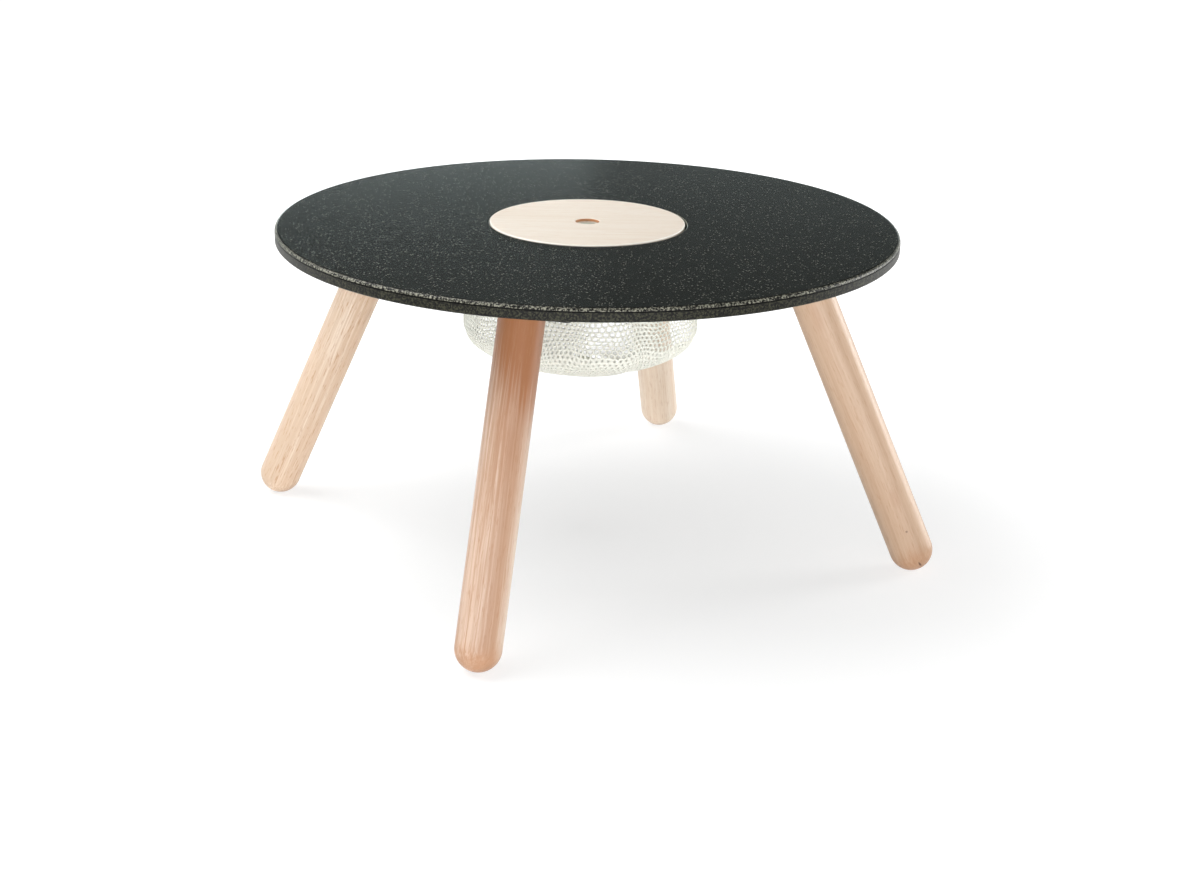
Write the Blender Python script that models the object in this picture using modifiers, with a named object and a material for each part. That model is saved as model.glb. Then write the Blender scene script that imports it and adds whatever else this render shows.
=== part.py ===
"""A low round table with a lidded hole and a net bag, as a set of separate solids.

Lengths are metres, +Z is up, and the origin is the floor under the middle of the table.
The four legs stand on the diagonals, so front is -Y and right is +X.
"""

import bpy
import bmesh
from math import cos, pi, radians, sin, tan
from mathutils import Euler, Matrix, Vector

MM = 0.001

# Driving dimensions of the whole table
TABLE_HEIGHT = 390 * MM
TOP_DIAMETER = 730 * MM
TOP_THICKNESS = 15 * MM
LEG_DIAMETER = 51 * MM
LEG_RAKE = radians(24.5)
LEG_CIRCLE_DIAMETER = 494 * MM
FIRST_LEG_ANGLE = radians(-45)

# Fits
GAP = 0.3 * MM
OVERRUN = 4 * MM

# Edge of the board
EDGE_ROUND_HEIGHT = 3.8 * MM
EDGE_ROUND_DEPTH = 4.2 * MM
QUIRK_HEIGHT = 1.0 * MM
QUIRK_DEPTH = 0.9 * MM
BOTTOM_ARRIS = 1.2 * MM
HOLE_ARRIS = 1.0 * MM

# Lid and the rebate that it lies in
LID_DIAMETER = 230 * MM
LID_THICKNESS = 6 * MM
LID_PROUD = 1.2 * MM
LID_CLEARANCE = 1.8 * MM
LID_SHIFT = 1.0 * MM
LID_SHIFT_ANGLE = radians(150)
LID_UPPER_ROUND = 1.6 * MM
LID_LOWER_ROUND = 0.8 * MM
LID_LEDGE = 8 * MM
FINGER_HOLE_DIAMETER = 28 * MM
FINGER_HOLE_ROUND = 1.4 * MM

# Net bag and its hoop
NET_THICKNESS = 2.0 * MM
BAG_DIAMETER = 280 * MM
BAG_WIDEST_DEPTH = 125 * MM
BAG_DEPTH = 173 * MM
BAG_NECK_CLEARANCE = 3 * MM
HOOP_WIDTH = 26 * MM
HOOP_THICKNESS = 9 * MM
HOOP_ROUND = 2 * MM
HEM_INSET = 2 * MM
HOOP_SCREW_COUNT = 8

# Wedge blocks
BLOCK_DEPTH = 26 * MM
BLOCK_LENGTH = 76 * MM
BLOCK_WIDTH = 94 * MM
BLOCK_CORNER_RADIUS = 11 * MM
BLOCK_ARRIS = 1.5 * MM
BLOCK_SCREW_LENGTHWAYS = 26 * MM
BLOCK_SCREW_SIDEWAYS = 36 * MM
BLOCK_UNDER_HEAD = 8 * MM

# Legs
LEG_TOP_ARRIS = 1.2 * MM
FOOT_FLAT_DEPTH = 0.5 * MM

# Threaded insert and hanger bolt
INSERT_DIAMETER = 12 * MM
INSERT_LENGTH = 14 * MM
INSERT_CHAMFER = 0.8 * MM
BOLT_DIAMETER = 8 * MM
BOLT_IN_BLOCK = 19 * MM
BOLT_IN_LEG = 34 * MM
BOLT_NECK_DEPTH = 0.7 * MM
BOLT_NECK_LENGTH = 5 * MM
BOLT_TIP = 1.2 * MM
BOLT_POINT = 7 * MM

# Wood screws
SCREW_DIAMETER = 4 * MM
SCREW_HEAD_DIAMETER = 8 * MM
SCREW_HEAD_HEIGHT = 2.6 * MM
SCREW_IN_BOARD = 10.5 * MM
SCREW_POINT = 3 * MM
COUNTERBORE_DIAMETER = 10 * MM

# Height of each ring of a pan head, and its radius, as shares of the head's own
SCREW_HEAD_SHARES = ((0, 1), (0.6, 0.9), (1, 0.55))

# Roundness of the turned pieces
BOARD_STEPS = 96
LID_STEPS = 64
HOOP_STEPS = 48
BAG_STEPS = 40
LEG_STEPS = 24
BOLT_STEPS = 12
SCREW_STEPS = 8
EDGE_ROUND_POINTS = 4
SMALL_ROUND_POINTS = 2
BLOCK_CORNER_POINTS = 4
FOOT_POINTS = 6
BAG_UPPER_POINTS = 4
BAG_LOWER_POINTS = 7
SHARP_ANGLE = radians(35)
MERGE_DISTANCE = 0.01 * MM

# Sizes that follow from the others
TOP_RADIUS = TOP_DIAMETER / 2
UNDERSIDE = TABLE_HEIGHT - TOP_THICKNESS
LID_RADIUS = LID_DIAMETER / 2
REBATE_RADIUS = LID_RADIUS + LID_CLEARANCE
LID_BOTTOM = TABLE_HEIGHT + LID_PROUD - LID_THICKNESS
REBATE_FLOOR = LID_BOTTOM - GAP
MOUTH_RADIUS = LID_RADIUS - LID_LEDGE
NECK_OUTER_RADIUS = MOUTH_RADIUS + BAG_NECK_CLEARANCE + NET_THICKNESS
HOOP_INNER_RADIUS = NECK_OUTER_RADIUS + GAP
HOOP_OUTER_RADIUS = HOOP_INNER_RADIUS + HOOP_WIDTH
HEM_TOP = UNDERSIDE - GAP
HEM_BOTTOM = HEM_TOP - NET_THICKNESS
HOOP_TOP = HEM_BOTTOM - GAP
HOOP_BOTTOM = HOOP_TOP - HOOP_THICKNESS
HOOP_SCREW_CIRCLE = (HOOP_INNER_RADIUS + HOOP_OUTER_RADIUS) / 2
LEG_RADIUS = LEG_DIAMETER / 2
BLOCK_TOP = UNDERSIDE - GAP
SEAT_HEIGHT = UNDERSIDE - BLOCK_DEPTH
SEAT_RADIUS = LEG_CIRCLE_DIAMETER / 2 + BLOCK_DEPTH * tan(LEG_RAKE)
FOOT_CENTRE_HEIGHT = LEG_RADIUS - FOOT_FLAT_DEPTH
LEG_STRAIGHT = (SEAT_HEIGHT - FOOT_CENTRE_HEIGHT) / cos(LEG_RAKE)
SCREW_RADIUS = SCREW_DIAMETER / 2
SCREW_HEAD_RADIUS = SCREW_HEAD_DIAMETER / 2
BOLT_RADIUS = BOLT_DIAMETER / 2
INSERT_RADIUS = INSERT_DIAMETER / 2
LEG_NAMES = ("front_right", "back_right", "back_left", "front_left")


def clear_scene():
    for old in list(bpy.data.objects):
        bpy.data.objects.remove(old, do_unlink=True)


def new_collection(name):
    collection = bpy.data.collections.new(name)
    bpy.context.scene.collection.children.link(collection)
    return collection


def material(name, colour, roughness, metallic=0):
    """A Principled material with one colour."""
    made = bpy.data.materials.new(name)
    made.use_nodes = True
    shader = made.node_tree.nodes["Principled BSDF"]
    shader.inputs["Base Color"].default_value = (*colour, 1)
    shader.inputs["Roughness"].default_value = roughness
    shader.inputs["Metallic"].default_value = metallic
    return made


def add_object(name, mesh, collection, surface=None):
    made = bpy.data.objects.new(name, mesh)
    collection.objects.link(made)
    if surface:
        mesh.materials.append(surface)
    return made


def profile_mesh(name, points, closed):
    """A chain of edges in the XZ plane, for a Screw modifier to turn."""
    mesh = bpy.data.meshes.new(name)
    count = len(points)
    edges = [(i, i + 1) for i in range(count - 1)]
    if closed:
        edges.append((count - 1, 0))
    mesh.from_pydata([(r, 0, z) for r, z in points], edges, [])
    return mesh


def turned(name, points, steps, collection, surface=None, closed=False):
    """A solid of revolution whose profile runs down its outer side."""
    made = add_object(name, profile_mesh(name, points, closed), collection, surface)
    screw = made.modifiers.new("Turn", "SCREW")
    screw.axis = "Z"
    screw.steps = steps
    screw.render_steps = steps
    screw.use_merge_vertices = True
    screw.merge_threshold = MERGE_DISTANCE
    screw.use_smooth_shade = True
    return made


def as_mesh(source):
    """The evaluated object as a plain mesh object in the same place, with smooth rounds."""
    depsgraph = bpy.context.evaluated_depsgraph_get()
    depsgraph.update()
    mesh = bpy.data.meshes.new_from_object(source.evaluated_get(depsgraph))
    name = source.name
    collection = source.users_collection[0]
    matrix = source.matrix_world.copy()
    bpy.data.objects.remove(source, do_unlink=True)
    mesh.name = name
    made = bpy.data.objects.new(name, mesh)
    collection.objects.link(made)
    made.matrix_world = matrix
    shade(made)
    return made


def shade(target):
    target.data.shade_smooth()
    target.data.set_sharp_from_angle(angle=SHARP_ANGLE)


def cut(target, cutter):
    """Take the cutter out of the target with an exact Boolean."""
    step = target.modifiers.new("Cut", "BOOLEAN")
    step.operation = "DIFFERENCE"
    step.solver = "EXACT"
    step.object = cutter
    cutter.hide_render = True
    cutter.display_type = "WIRE"


def joined(name, pieces, collection):
    """One object from several cutters that don't touch each other."""
    bm = bmesh.new()
    for piece in pieces:
        start = len(bm.verts)
        bm.from_mesh(piece.data)
        bm.verts.ensure_lookup_table()
        bmesh.ops.transform(bm, matrix=piece.matrix_world, verts=bm.verts[start:])
        bpy.data.objects.remove(piece, do_unlink=True)
    mesh = bpy.data.meshes.new(name)
    bm.to_mesh(mesh)
    bm.free()
    return add_object(name, mesh, collection)


def cylinder(name, radius, low, high, steps, collection):
    """A closed upright cylinder from one height to another."""
    bm = bmesh.new()
    bmesh.ops.create_cone(
        bm, cap_ends=True, segments=steps, radius1=radius, radius2=radius, depth=high - low,
        matrix=Matrix.Translation((0, 0, (low + high) / 2)),
    )
    mesh = bpy.data.meshes.new(name)
    bm.to_mesh(mesh)
    bm.free()
    return add_object(name, mesh, collection)


def arc(centre, radius_across, radius_up, start, end, count):
    """Points on an ellipse arc, with angles from the outward direction."""
    angles = [start + (end - start) * i / count for i in range(count + 1)]
    return [(centre[0] + radius_across * cos(a), centre[1] + radius_up * sin(a)) for a in angles]


def around(count, first=0.0):
    return [first + 2 * pi * i / count for i in range(count)]


def polar(radius, angle, height=0.0):
    return Vector((radius * cos(angle), radius * sin(angle), height))


def leg_angle(index):
    return FIRST_LEG_ANGLE + index * pi / 2


def block_screw_places():
    """The four screws of one block, in the block's own plan."""
    return [
        Vector((along * BLOCK_SCREW_LENGTHWAYS, side * BLOCK_SCREW_SIDEWAYS, 0))
        for along in (-1, 1) for side in (-1, 1)
    ]


def make_tabletop(parts, cutters, surface):
    """The board: rounded arris, quirk, plain band, rebate and through hole."""
    outer = TOP_RADIUS
    round_foot = TABLE_HEIGHT - EDGE_ROUND_HEIGHT
    rounded = arc(
        (outer - EDGE_ROUND_DEPTH, round_foot), EDGE_ROUND_DEPTH, EDGE_ROUND_HEIGHT,
        pi / 2, 0, EDGE_ROUND_POINTS,
    )
    points = [
        *rounded,
        (outer - QUIRK_DEPTH, round_foot - QUIRK_HEIGHT / 2),
        (outer, round_foot - QUIRK_HEIGHT),
        (outer, UNDERSIDE + BOTTOM_ARRIS),
        (outer - BOTTOM_ARRIS, UNDERSIDE),
        (MOUTH_RADIUS, UNDERSIDE),
        (MOUTH_RADIUS, REBATE_FLOOR),
        (REBATE_RADIUS, REBATE_FLOOR),
        (REBATE_RADIUS, TABLE_HEIGHT - HOLE_ARRIS),
        (REBATE_RADIUS + HOLE_ARRIS, TABLE_HEIGHT),
    ]
    board = as_mesh(turned("tabletop", points, BOARD_STEPS, parts, surface, closed=True))
    pilots = []
    for place in board_screw_places():
        pilot = cylinder(
            "pilot", SCREW_RADIUS + GAP, -OVERRUN, SCREW_IN_BOARD + GAP, SCREW_STEPS, cutters
        )
        pilot.location = place
        pilots.append(pilot)
    bpy.context.view_layer.update()
    cut(board, joined("board_pilots", pilots, cutters))
    return board


def board_screw_places():
    """Where every wood screw enters the underside of the board."""
    places = [polar(HOOP_SCREW_CIRCLE, a, UNDERSIDE) for a in hoop_screw_angles()]
    for index in range(len(LEG_NAMES)):
        turn = Matrix.Rotation(leg_angle(index), 4, "Z")
        centre = polar(SEAT_RADIUS, leg_angle(index), UNDERSIDE)
        places += [centre + turn @ place for place in block_screw_places()]
    return places


def hoop_screw_angles():
    return around(HOOP_SCREW_COUNT, pi / HOOP_SCREW_COUNT)


def make_lid(parts, surface):
    """The lid: a turned disc with rounded arrises and a finger hole, lying loose to one side."""
    top = LID_THICKNESS
    hole = FINGER_HOLE_DIAMETER / 2
    points = [
        *arc((LID_RADIUS - LID_UPPER_ROUND, top - LID_UPPER_ROUND), LID_UPPER_ROUND,
             LID_UPPER_ROUND, pi / 2, 0, SMALL_ROUND_POINTS),
        *arc((LID_RADIUS - LID_LOWER_ROUND, LID_LOWER_ROUND), LID_LOWER_ROUND,
             LID_LOWER_ROUND, 0, -pi / 2, SMALL_ROUND_POINTS),
        *arc((hole + FINGER_HOLE_ROUND, FINGER_HOLE_ROUND), FINGER_HOLE_ROUND,
             FINGER_HOLE_ROUND, -pi / 2, -pi, SMALL_ROUND_POINTS),
        *arc((hole + FINGER_HOLE_ROUND, top - FINGER_HOLE_ROUND), FINGER_HOLE_ROUND,
             FINGER_HOLE_ROUND, pi, pi / 2, SMALL_ROUND_POINTS),
    ]
    lid = as_mesh(turned("lid", points, LID_STEPS, parts, surface, closed=True))
    lid.location = polar(LID_SHIFT, LID_SHIFT_ANGLE, LID_BOTTOM)
    return lid


def bag_outline(inset):
    """Radius and height down the bag from the neck to the lowest point, inset from the outside."""
    widest = BAG_DIAMETER / 2
    widest_height = TABLE_HEIGHT - BAG_WIDEST_DEPTH
    neck_height = HOOP_BOTTOM - GAP
    belly_drop = BAG_DEPTH - BAG_WIDEST_DEPTH
    points = []
    for i in range(BAG_UPPER_POINTS):
        share = i / BAG_UPPER_POINTS
        radius = NECK_OUTER_RADIUS + (widest - NECK_OUTER_RADIUS) * sin(share * pi / 2)
        points.append((radius - inset, neck_height + (widest_height - neck_height) * share))
    for i in range(BAG_LOWER_POINTS + 1):
        angle = i / BAG_LOWER_POINTS * pi / 2
        points.append(((widest - inset) * cos(angle), widest_height - (belly_drop - inset) * sin(angle)))
    points[-1] = (0, points[-1][1])
    return points


def make_net_bag(parts, cutters, surface):
    """The net as a thin bowl with a hem that lies between the board and the hoop."""
    hem_edge = HOOP_OUTER_RADIUS - HEM_INSET
    neck_inner = NECK_OUTER_RADIUS - NET_THICKNESS
    points = [
        (neck_inner, HEM_TOP),
        (hem_edge, HEM_TOP),
        (hem_edge, HEM_BOTTOM),
        (NECK_OUTER_RADIUS, HEM_BOTTOM),
        *bag_outline(0),
        *reversed(bag_outline(NET_THICKNESS)),
        (neck_inner, HEM_TOP),
    ]
    bag = as_mesh(turned("net_bag", points, BAG_STEPS, parts, surface))
    holes = []
    for angle in hoop_screw_angles():
        hole = cylinder(
            "hem_hole", SCREW_RADIUS + GAP, HEM_BOTTOM - OVERRUN, HEM_TOP + OVERRUN,
            SCREW_STEPS, cutters,
        )
        hole.location = polar(HOOP_SCREW_CIRCLE, angle)
        holes.append(hole)
    bpy.context.view_layer.update()
    cut(bag, joined("hem_holes", holes, cutters))
    return bag


def make_bag_hoop(parts, cutters, surface):
    """The flat hoop, with rounded lower arrises and a clearance hole for each screw."""
    points = [
        (HOOP_INNER_RADIUS, HOOP_TOP),
        (HOOP_OUTER_RADIUS, HOOP_TOP),
        *arc((HOOP_OUTER_RADIUS - HOOP_ROUND, HOOP_BOTTOM + HOOP_ROUND), HOOP_ROUND,
             HOOP_ROUND, 0, -pi / 2, SMALL_ROUND_POINTS),
        *arc((HOOP_INNER_RADIUS + HOOP_ROUND, HOOP_BOTTOM + HOOP_ROUND), HOOP_ROUND,
             HOOP_ROUND, -pi / 2, -pi, SMALL_ROUND_POINTS),
    ]
    hoop = as_mesh(turned("bag_hoop", points, HOOP_STEPS, parts, surface, closed=True))
    holes = []
    for angle in hoop_screw_angles():
        hole = cylinder(
            "hoop_hole", SCREW_RADIUS + GAP, HOOP_BOTTOM - OVERRUN, HOOP_TOP + OVERRUN,
            SCREW_STEPS, cutters,
        )
        hole.location = polar(HOOP_SCREW_CIRCLE, angle)
        holes.append(hole)
    bpy.context.view_layer.update()
    cut(hoop, joined("hoop_holes", holes, cutters))
    return hoop


def screw_profile(length):
    """A pan-head screw that points up, with its head's seat at height zero."""
    return [
        (0, length),
        (SCREW_RADIUS, length - SCREW_POINT),
        (SCREW_RADIUS, 0),
        *[(SCREW_HEAD_RADIUS * wide, -SCREW_HEAD_HEIGHT * low) for low, wide in SCREW_HEAD_SHARES],
        (0, -SCREW_HEAD_HEIGHT),
    ]


def screw_mesh(length, cutters, surface):
    """One screw's mesh, which every screw of that length shares."""
    model = as_mesh(turned("screw", screw_profile(length), SCREW_STEPS, cutters))
    mesh = model.data
    bpy.data.objects.remove(model, do_unlink=True)
    mesh.materials.append(surface)
    return mesh


def place_screws(name, mesh, places, parts):
    """Like screws, each an object of its own, numbered from 1."""
    for number, place in enumerate(places, 1):
        screw = bpy.data.objects.new(f"{name}_{number}", mesh)
        parts.objects.link(screw)
        screw.location = place


def leg_frame(index):
    """The frame of one leg: origin at its seat on the block, +Z up along the leg."""
    angle = leg_angle(index)
    turn = Euler((0, -LEG_RAKE, angle)).to_matrix().to_4x4()
    return Matrix.Translation(polar(SEAT_RADIUS, angle, SEAT_HEIGHT)) @ turn


def make_leg(index, parts, cutters, surface):
    """A dowel with a hemispherical foot, flattened where it meets the floor."""
    name = LEG_NAMES[index]
    top = -GAP
    foot = arc((0, -LEG_STRAIGHT), LEG_RADIUS, LEG_RADIUS, 0, -pi / 2, FOOT_POINTS)
    foot[-1] = (0, foot[-1][1])
    points = [
        (0, top),
        (LEG_RADIUS - LEG_TOP_ARRIS, top),
        (LEG_RADIUS, top - LEG_TOP_ARRIS),
        *foot,
    ]
    leg = as_mesh(turned("leg_" + name, points, LEG_STEPS, parts, surface))
    leg.matrix_world = leg_frame(index)
    floor = cylinder("floor_" + name, LEG_DIAMETER, -LEG_DIAMETER, 0, LEG_STEPS, cutters)
    floor.location = leg_frame(index) @ Vector((0, 0, -LEG_STRAIGHT)) * Vector((1, 1, 0))
    cut(leg, floor)
    bore = cylinder(
        "leg_bore_" + name, BOLT_RADIUS + GAP, -BOLT_IN_LEG - GAP, OVERRUN, BOLT_STEPS, cutters
    )
    bore.matrix_world = leg_frame(index)
    cut(leg, bore)
    return leg


def wedge_mesh(name):
    """A box with rounded corners whose lower face is cut square to the leg."""
    bm = bmesh.new()
    bmesh.ops.create_cube(bm, size=1)
    height = BLOCK_DEPTH + BLOCK_LENGTH
    bmesh.ops.scale(bm, vec=(BLOCK_LENGTH, BLOCK_WIDTH, height), verts=bm.verts)
    bmesh.ops.translate(bm, vec=(0, 0, -height / 2), verts=bm.verts)
    upright = [e for e in bm.edges if abs(e.verts[0].co.z - e.verts[1].co.z) > height / 2]
    bmesh.ops.bevel(
        bm, geom=upright, offset=BLOCK_CORNER_RADIUS, segments=BLOCK_CORNER_POINTS, profile=0.5,
        affect="EDGES", offset_type="OFFSET", material=-1,
    )
    seat = Vector((0, 0, -(BLOCK_DEPTH - GAP)))
    down = Vector((sin(LEG_RAKE), 0, -cos(LEG_RAKE)))
    bmesh.ops.bisect_plane(
        bm, geom=[*bm.verts, *bm.edges, *bm.faces], plane_co=seat, plane_no=down, clear_outer=True
    )
    rim = [e for e in bm.edges if e.is_boundary]
    lower = bmesh.ops.edgeloop_fill(bm, edges=rim)["faces"]
    bmesh.ops.recalc_face_normals(bm, faces=bm.faces)
    bmesh.ops.bevel(
        bm, geom=list(lower[0].edges), offset=BLOCK_ARRIS, segments=1, profile=0.5,
        affect="EDGES", offset_type="OFFSET", material=-1,
    )
    mesh = bpy.data.meshes.new(name)
    bm.to_mesh(mesh)
    bm.free()
    return mesh


def make_leg_block(index, parts, cutters, surface):
    """A wedge block with a stepped bore for insert and bolt, and four counterbored screw holes."""
    name = LEG_NAMES[index]
    angle = leg_angle(index)
    place = Matrix.Translation(polar(SEAT_RADIUS, angle, BLOCK_TOP)) @ Matrix.Rotation(angle, 4, "Z")
    block = add_object("leg_block_" + name, wedge_mesh("leg_block_" + name), parts, surface)
    block.matrix_world = place
    shade(block)
    insert_bore = INSERT_RADIUS + GAP
    bolt_bore = BOLT_RADIUS + GAP
    bore_points = [
        (0, BOLT_IN_BLOCK + GAP),
        (bolt_bore, BOLT_IN_BLOCK + GAP),
        (bolt_bore, INSERT_LENGTH + GAP),
        (insert_bore, INSERT_LENGTH + GAP),
        (insert_bore, -OVERRUN),
        (0, -OVERRUN),
    ]
    bore = as_mesh(turned("block_bore_" + name, bore_points, BOLT_STEPS, cutters))
    bore.matrix_world = leg_frame(index)
    cut(block, bore)
    wells = []
    for spot in block_screw_places():
        shank = SCREW_RADIUS + GAP
        well = COUNTERBORE_DIAMETER / 2
        points = [
            (0, OVERRUN),
            (shank, OVERRUN),
            (shank, -BLOCK_UNDER_HEAD),
            (well, -BLOCK_UNDER_HEAD),
            (well, -BLOCK_DEPTH - BLOCK_LENGTH),
            (0, -BLOCK_DEPTH - BLOCK_LENGTH),
        ]
        piece = as_mesh(turned("well", points, BOLT_STEPS, cutters))
        piece.matrix_world = place @ Matrix.Translation(spot)
        wells.append(piece)
    bpy.context.view_layer.update()
    cut(block, joined("block_wells_" + name, wells, cutters))
    return block


def make_block_screws(parts, cutters, surface):
    """The four screws that hold each block to the board."""
    seat = BLOCK_TOP - BLOCK_UNDER_HEAD - GAP
    mesh = screw_mesh(UNDERSIDE + SCREW_IN_BOARD - seat, cutters, surface)
    for index, name in enumerate(LEG_NAMES):
        turn = Matrix.Rotation(leg_angle(index), 4, "Z")
        centre = polar(SEAT_RADIUS, leg_angle(index), seat)
        places = [centre + turn @ spot for spot in block_screw_places()]
        place_screws("block_screw_" + name, mesh, places, parts)


def make_hoop_screws(parts, cutters, surface):
    """The screws that clamp the hoop and the hem to the board."""
    seat = HOOP_BOTTOM - GAP
    mesh = screw_mesh(UNDERSIDE + SCREW_IN_BOARD - seat, cutters, surface)
    places = [polar(HOOP_SCREW_CIRCLE, angle, seat) for angle in hoop_screw_angles()]
    place_screws("hoop_screw", mesh, places, parts)


def make_insert(index, parts, surface):
    """A threaded insert: a short tube that lies in the block, flush with its seat."""
    inner = BOLT_RADIUS + GAP
    points = [
        (inner, INSERT_LENGTH),
        (INSERT_RADIUS - INSERT_CHAMFER, INSERT_LENGTH),
        (INSERT_RADIUS, INSERT_LENGTH - INSERT_CHAMFER),
        (INSERT_RADIUS, GAP),
        (inner, GAP),
    ]
    name = "block_insert_" + LEG_NAMES[index]
    insert = as_mesh(turned(name, points, BOLT_STEPS, parts, surface, closed=True))
    insert.matrix_world = leg_frame(index)
    return insert


def make_hanger_bolt(index, parts, surface):
    """A headless bolt: machine thread up in the block, wood thread and point down in the leg."""
    neck = BOLT_RADIUS - BOLT_NECK_DEPTH
    points = [
        (0, BOLT_IN_BLOCK),
        (BOLT_RADIUS - BOLT_TIP, BOLT_IN_BLOCK),
        (BOLT_RADIUS, BOLT_IN_BLOCK - BOLT_TIP),
        (BOLT_RADIUS, 0),
        (neck, -BOLT_NECK_DEPTH),
        (neck, -BOLT_NECK_LENGTH),
        (BOLT_RADIUS, -BOLT_NECK_LENGTH - BOLT_NECK_DEPTH),
        (BOLT_RADIUS, -BOLT_IN_LEG + BOLT_POINT),
        (0, -BOLT_IN_LEG),
    ]
    name = "hanger_bolt_" + LEG_NAMES[index]
    bolt = as_mesh(turned(name, points, BOLT_STEPS, parts, surface))
    bolt.matrix_world = leg_frame(index)
    return bolt


def main():
    clear_scene()
    parts = new_collection("round_table")
    cutters = new_collection("cutters")
    board = material("speckled board", (0.030, 0.034, 0.031), 0.55)
    pale_wood = material("pale lid wood", (0.80, 0.70, 0.58), 0.45)
    leg_wood = material("rubberwood", (0.66, 0.45, 0.31), 0.45)
    net = material("cotton net", (0.80, 0.79, 0.71), 0.9)
    steel = material("zinc plated steel", (0.60, 0.60, 0.58), 0.3, 1)
    make_tabletop(parts, cutters, board)
    make_lid(parts, pale_wood)
    make_net_bag(parts, cutters, net)
    make_bag_hoop(parts, cutters, leg_wood)
    make_hoop_screws(parts, cutters, steel)
    make_block_screws(parts, cutters, steel)
    for index in range(len(LEG_NAMES)):
        make_leg(index, parts, cutters, leg_wood)
        make_leg_block(index, parts, cutters, leg_wood)
        make_insert(index, parts, steel)
        make_hanger_bolt(index, parts, steel)


main()
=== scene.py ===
"""A low round table with a lift-off lid and a net bag: the finish of every piece, in metres, +Z up."""

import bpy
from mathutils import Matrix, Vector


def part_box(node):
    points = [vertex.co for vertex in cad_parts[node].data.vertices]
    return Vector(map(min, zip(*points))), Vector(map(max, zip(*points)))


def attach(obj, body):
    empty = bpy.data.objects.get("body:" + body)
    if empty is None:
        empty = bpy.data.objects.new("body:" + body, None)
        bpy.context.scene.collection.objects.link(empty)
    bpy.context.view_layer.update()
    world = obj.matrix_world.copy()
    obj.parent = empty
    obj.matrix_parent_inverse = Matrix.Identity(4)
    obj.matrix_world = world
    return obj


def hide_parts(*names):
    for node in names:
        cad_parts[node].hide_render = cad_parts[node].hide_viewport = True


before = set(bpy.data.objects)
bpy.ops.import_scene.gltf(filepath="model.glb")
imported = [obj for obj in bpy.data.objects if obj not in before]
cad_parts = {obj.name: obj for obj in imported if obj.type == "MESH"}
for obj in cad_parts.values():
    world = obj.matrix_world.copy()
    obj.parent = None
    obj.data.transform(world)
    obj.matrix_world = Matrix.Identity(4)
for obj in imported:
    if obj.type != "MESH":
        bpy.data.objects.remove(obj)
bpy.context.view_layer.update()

from bisect import bisect_right
from math import atan2, cos, exp, hypot, pi, radians, sin, sqrt, tan

import bmesh
import bpy
from bpy.props import FloatProperty, FloatVectorProperty, IntProperty, PointerProperty
from bpy.types import Operator, Panel, PropertyGroup
from mathutils import Euler, Matrix, Vector, noise

bl_info = {
    "name": "Round Play Table",
    "version": (1, 0, 0),
    "blender": (4, 5, 0),
    "location": "View3D > Sidebar > Play Table",
    "description": "Models and finishes a round play table with a lidded net bag",
    "category": "Add Mesh",
}

MM = 0.001
MERGE_DISTANCE = 0.003 * MM
# A ring this far from a rounding's end keeps the flat face beside it shaded flat
FLAT_MARGIN = 0.4 * MM
# Pieces that lie on each other are this far apart
FIT_GAP = 0.3 * MM
HOOP_WIDTH = 26 * MM
# The net's neck hangs this far inside the hoop
NECK_GAP = 1.2 * MM
# The dome of a foot is cut flat this far above its lowest point
FOOT_FLAT = 0.5 * MM

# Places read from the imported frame
BOARD_LOW, BOARD_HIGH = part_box("tabletop")
LID_LOW, LID_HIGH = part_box("lid")
BAG_LOW, BAG_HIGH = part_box("net_bag")
HOOP_LOW, HOOP_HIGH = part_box("bag_hoop")
BOARD_RADIUS = BOARD_HIGH.x
FACE_HEIGHT = BOARD_HIGH.z
UNDERSIDE = BOARD_LOW.z
LID_RADIUS = (LID_HIGH.x - LID_LOW.x) / 2
LID_CENTRE = Vector(((LID_LOW.x + LID_HIGH.x) / 2, (LID_LOW.y + LID_HIGH.y) / 2, 0))
BAG_RADIUS = BAG_HIGH.x
LEG_NAMES = ("front_right", "back_right", "back_left", "front_left")
SCREW_NODES = sorted(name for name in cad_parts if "_screw_" in name)

# The camera, as fitted to the photograph
CAMERA_TURN = radians(-29.75)
CAMERA_DISTANCE = 2.1877
CAMERA_HEIGHT = 0.9181
CAMERA_HEADING = radians(-30.26)
CAMERA_PITCH = radians(20.12)
CAMERA_ROLL = radians(1.243)
CAMERA_LENS_MM = 56.9


def colour(code):
    """An sRGB hex code as a linear RGBA colour."""
    parts = [int(code[i:i + 2], 16) / 255 for i in (1, 3, 5)]
    return (*[c / 12.92 if c <= 0.04045 else ((c + 0.055) / 1.055) ** 2.4 for c in parts], 1)


def length_property(name, description, default):
    return FloatProperty(name=name, description=description, default=default, unit="LENGTH", precision=5)


def colour_property(name, description, code):
    return FloatVectorProperty(
        name=name, description=description, default=colour(code), subtype="COLOR", size=4, min=0, max=1
    )


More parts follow.
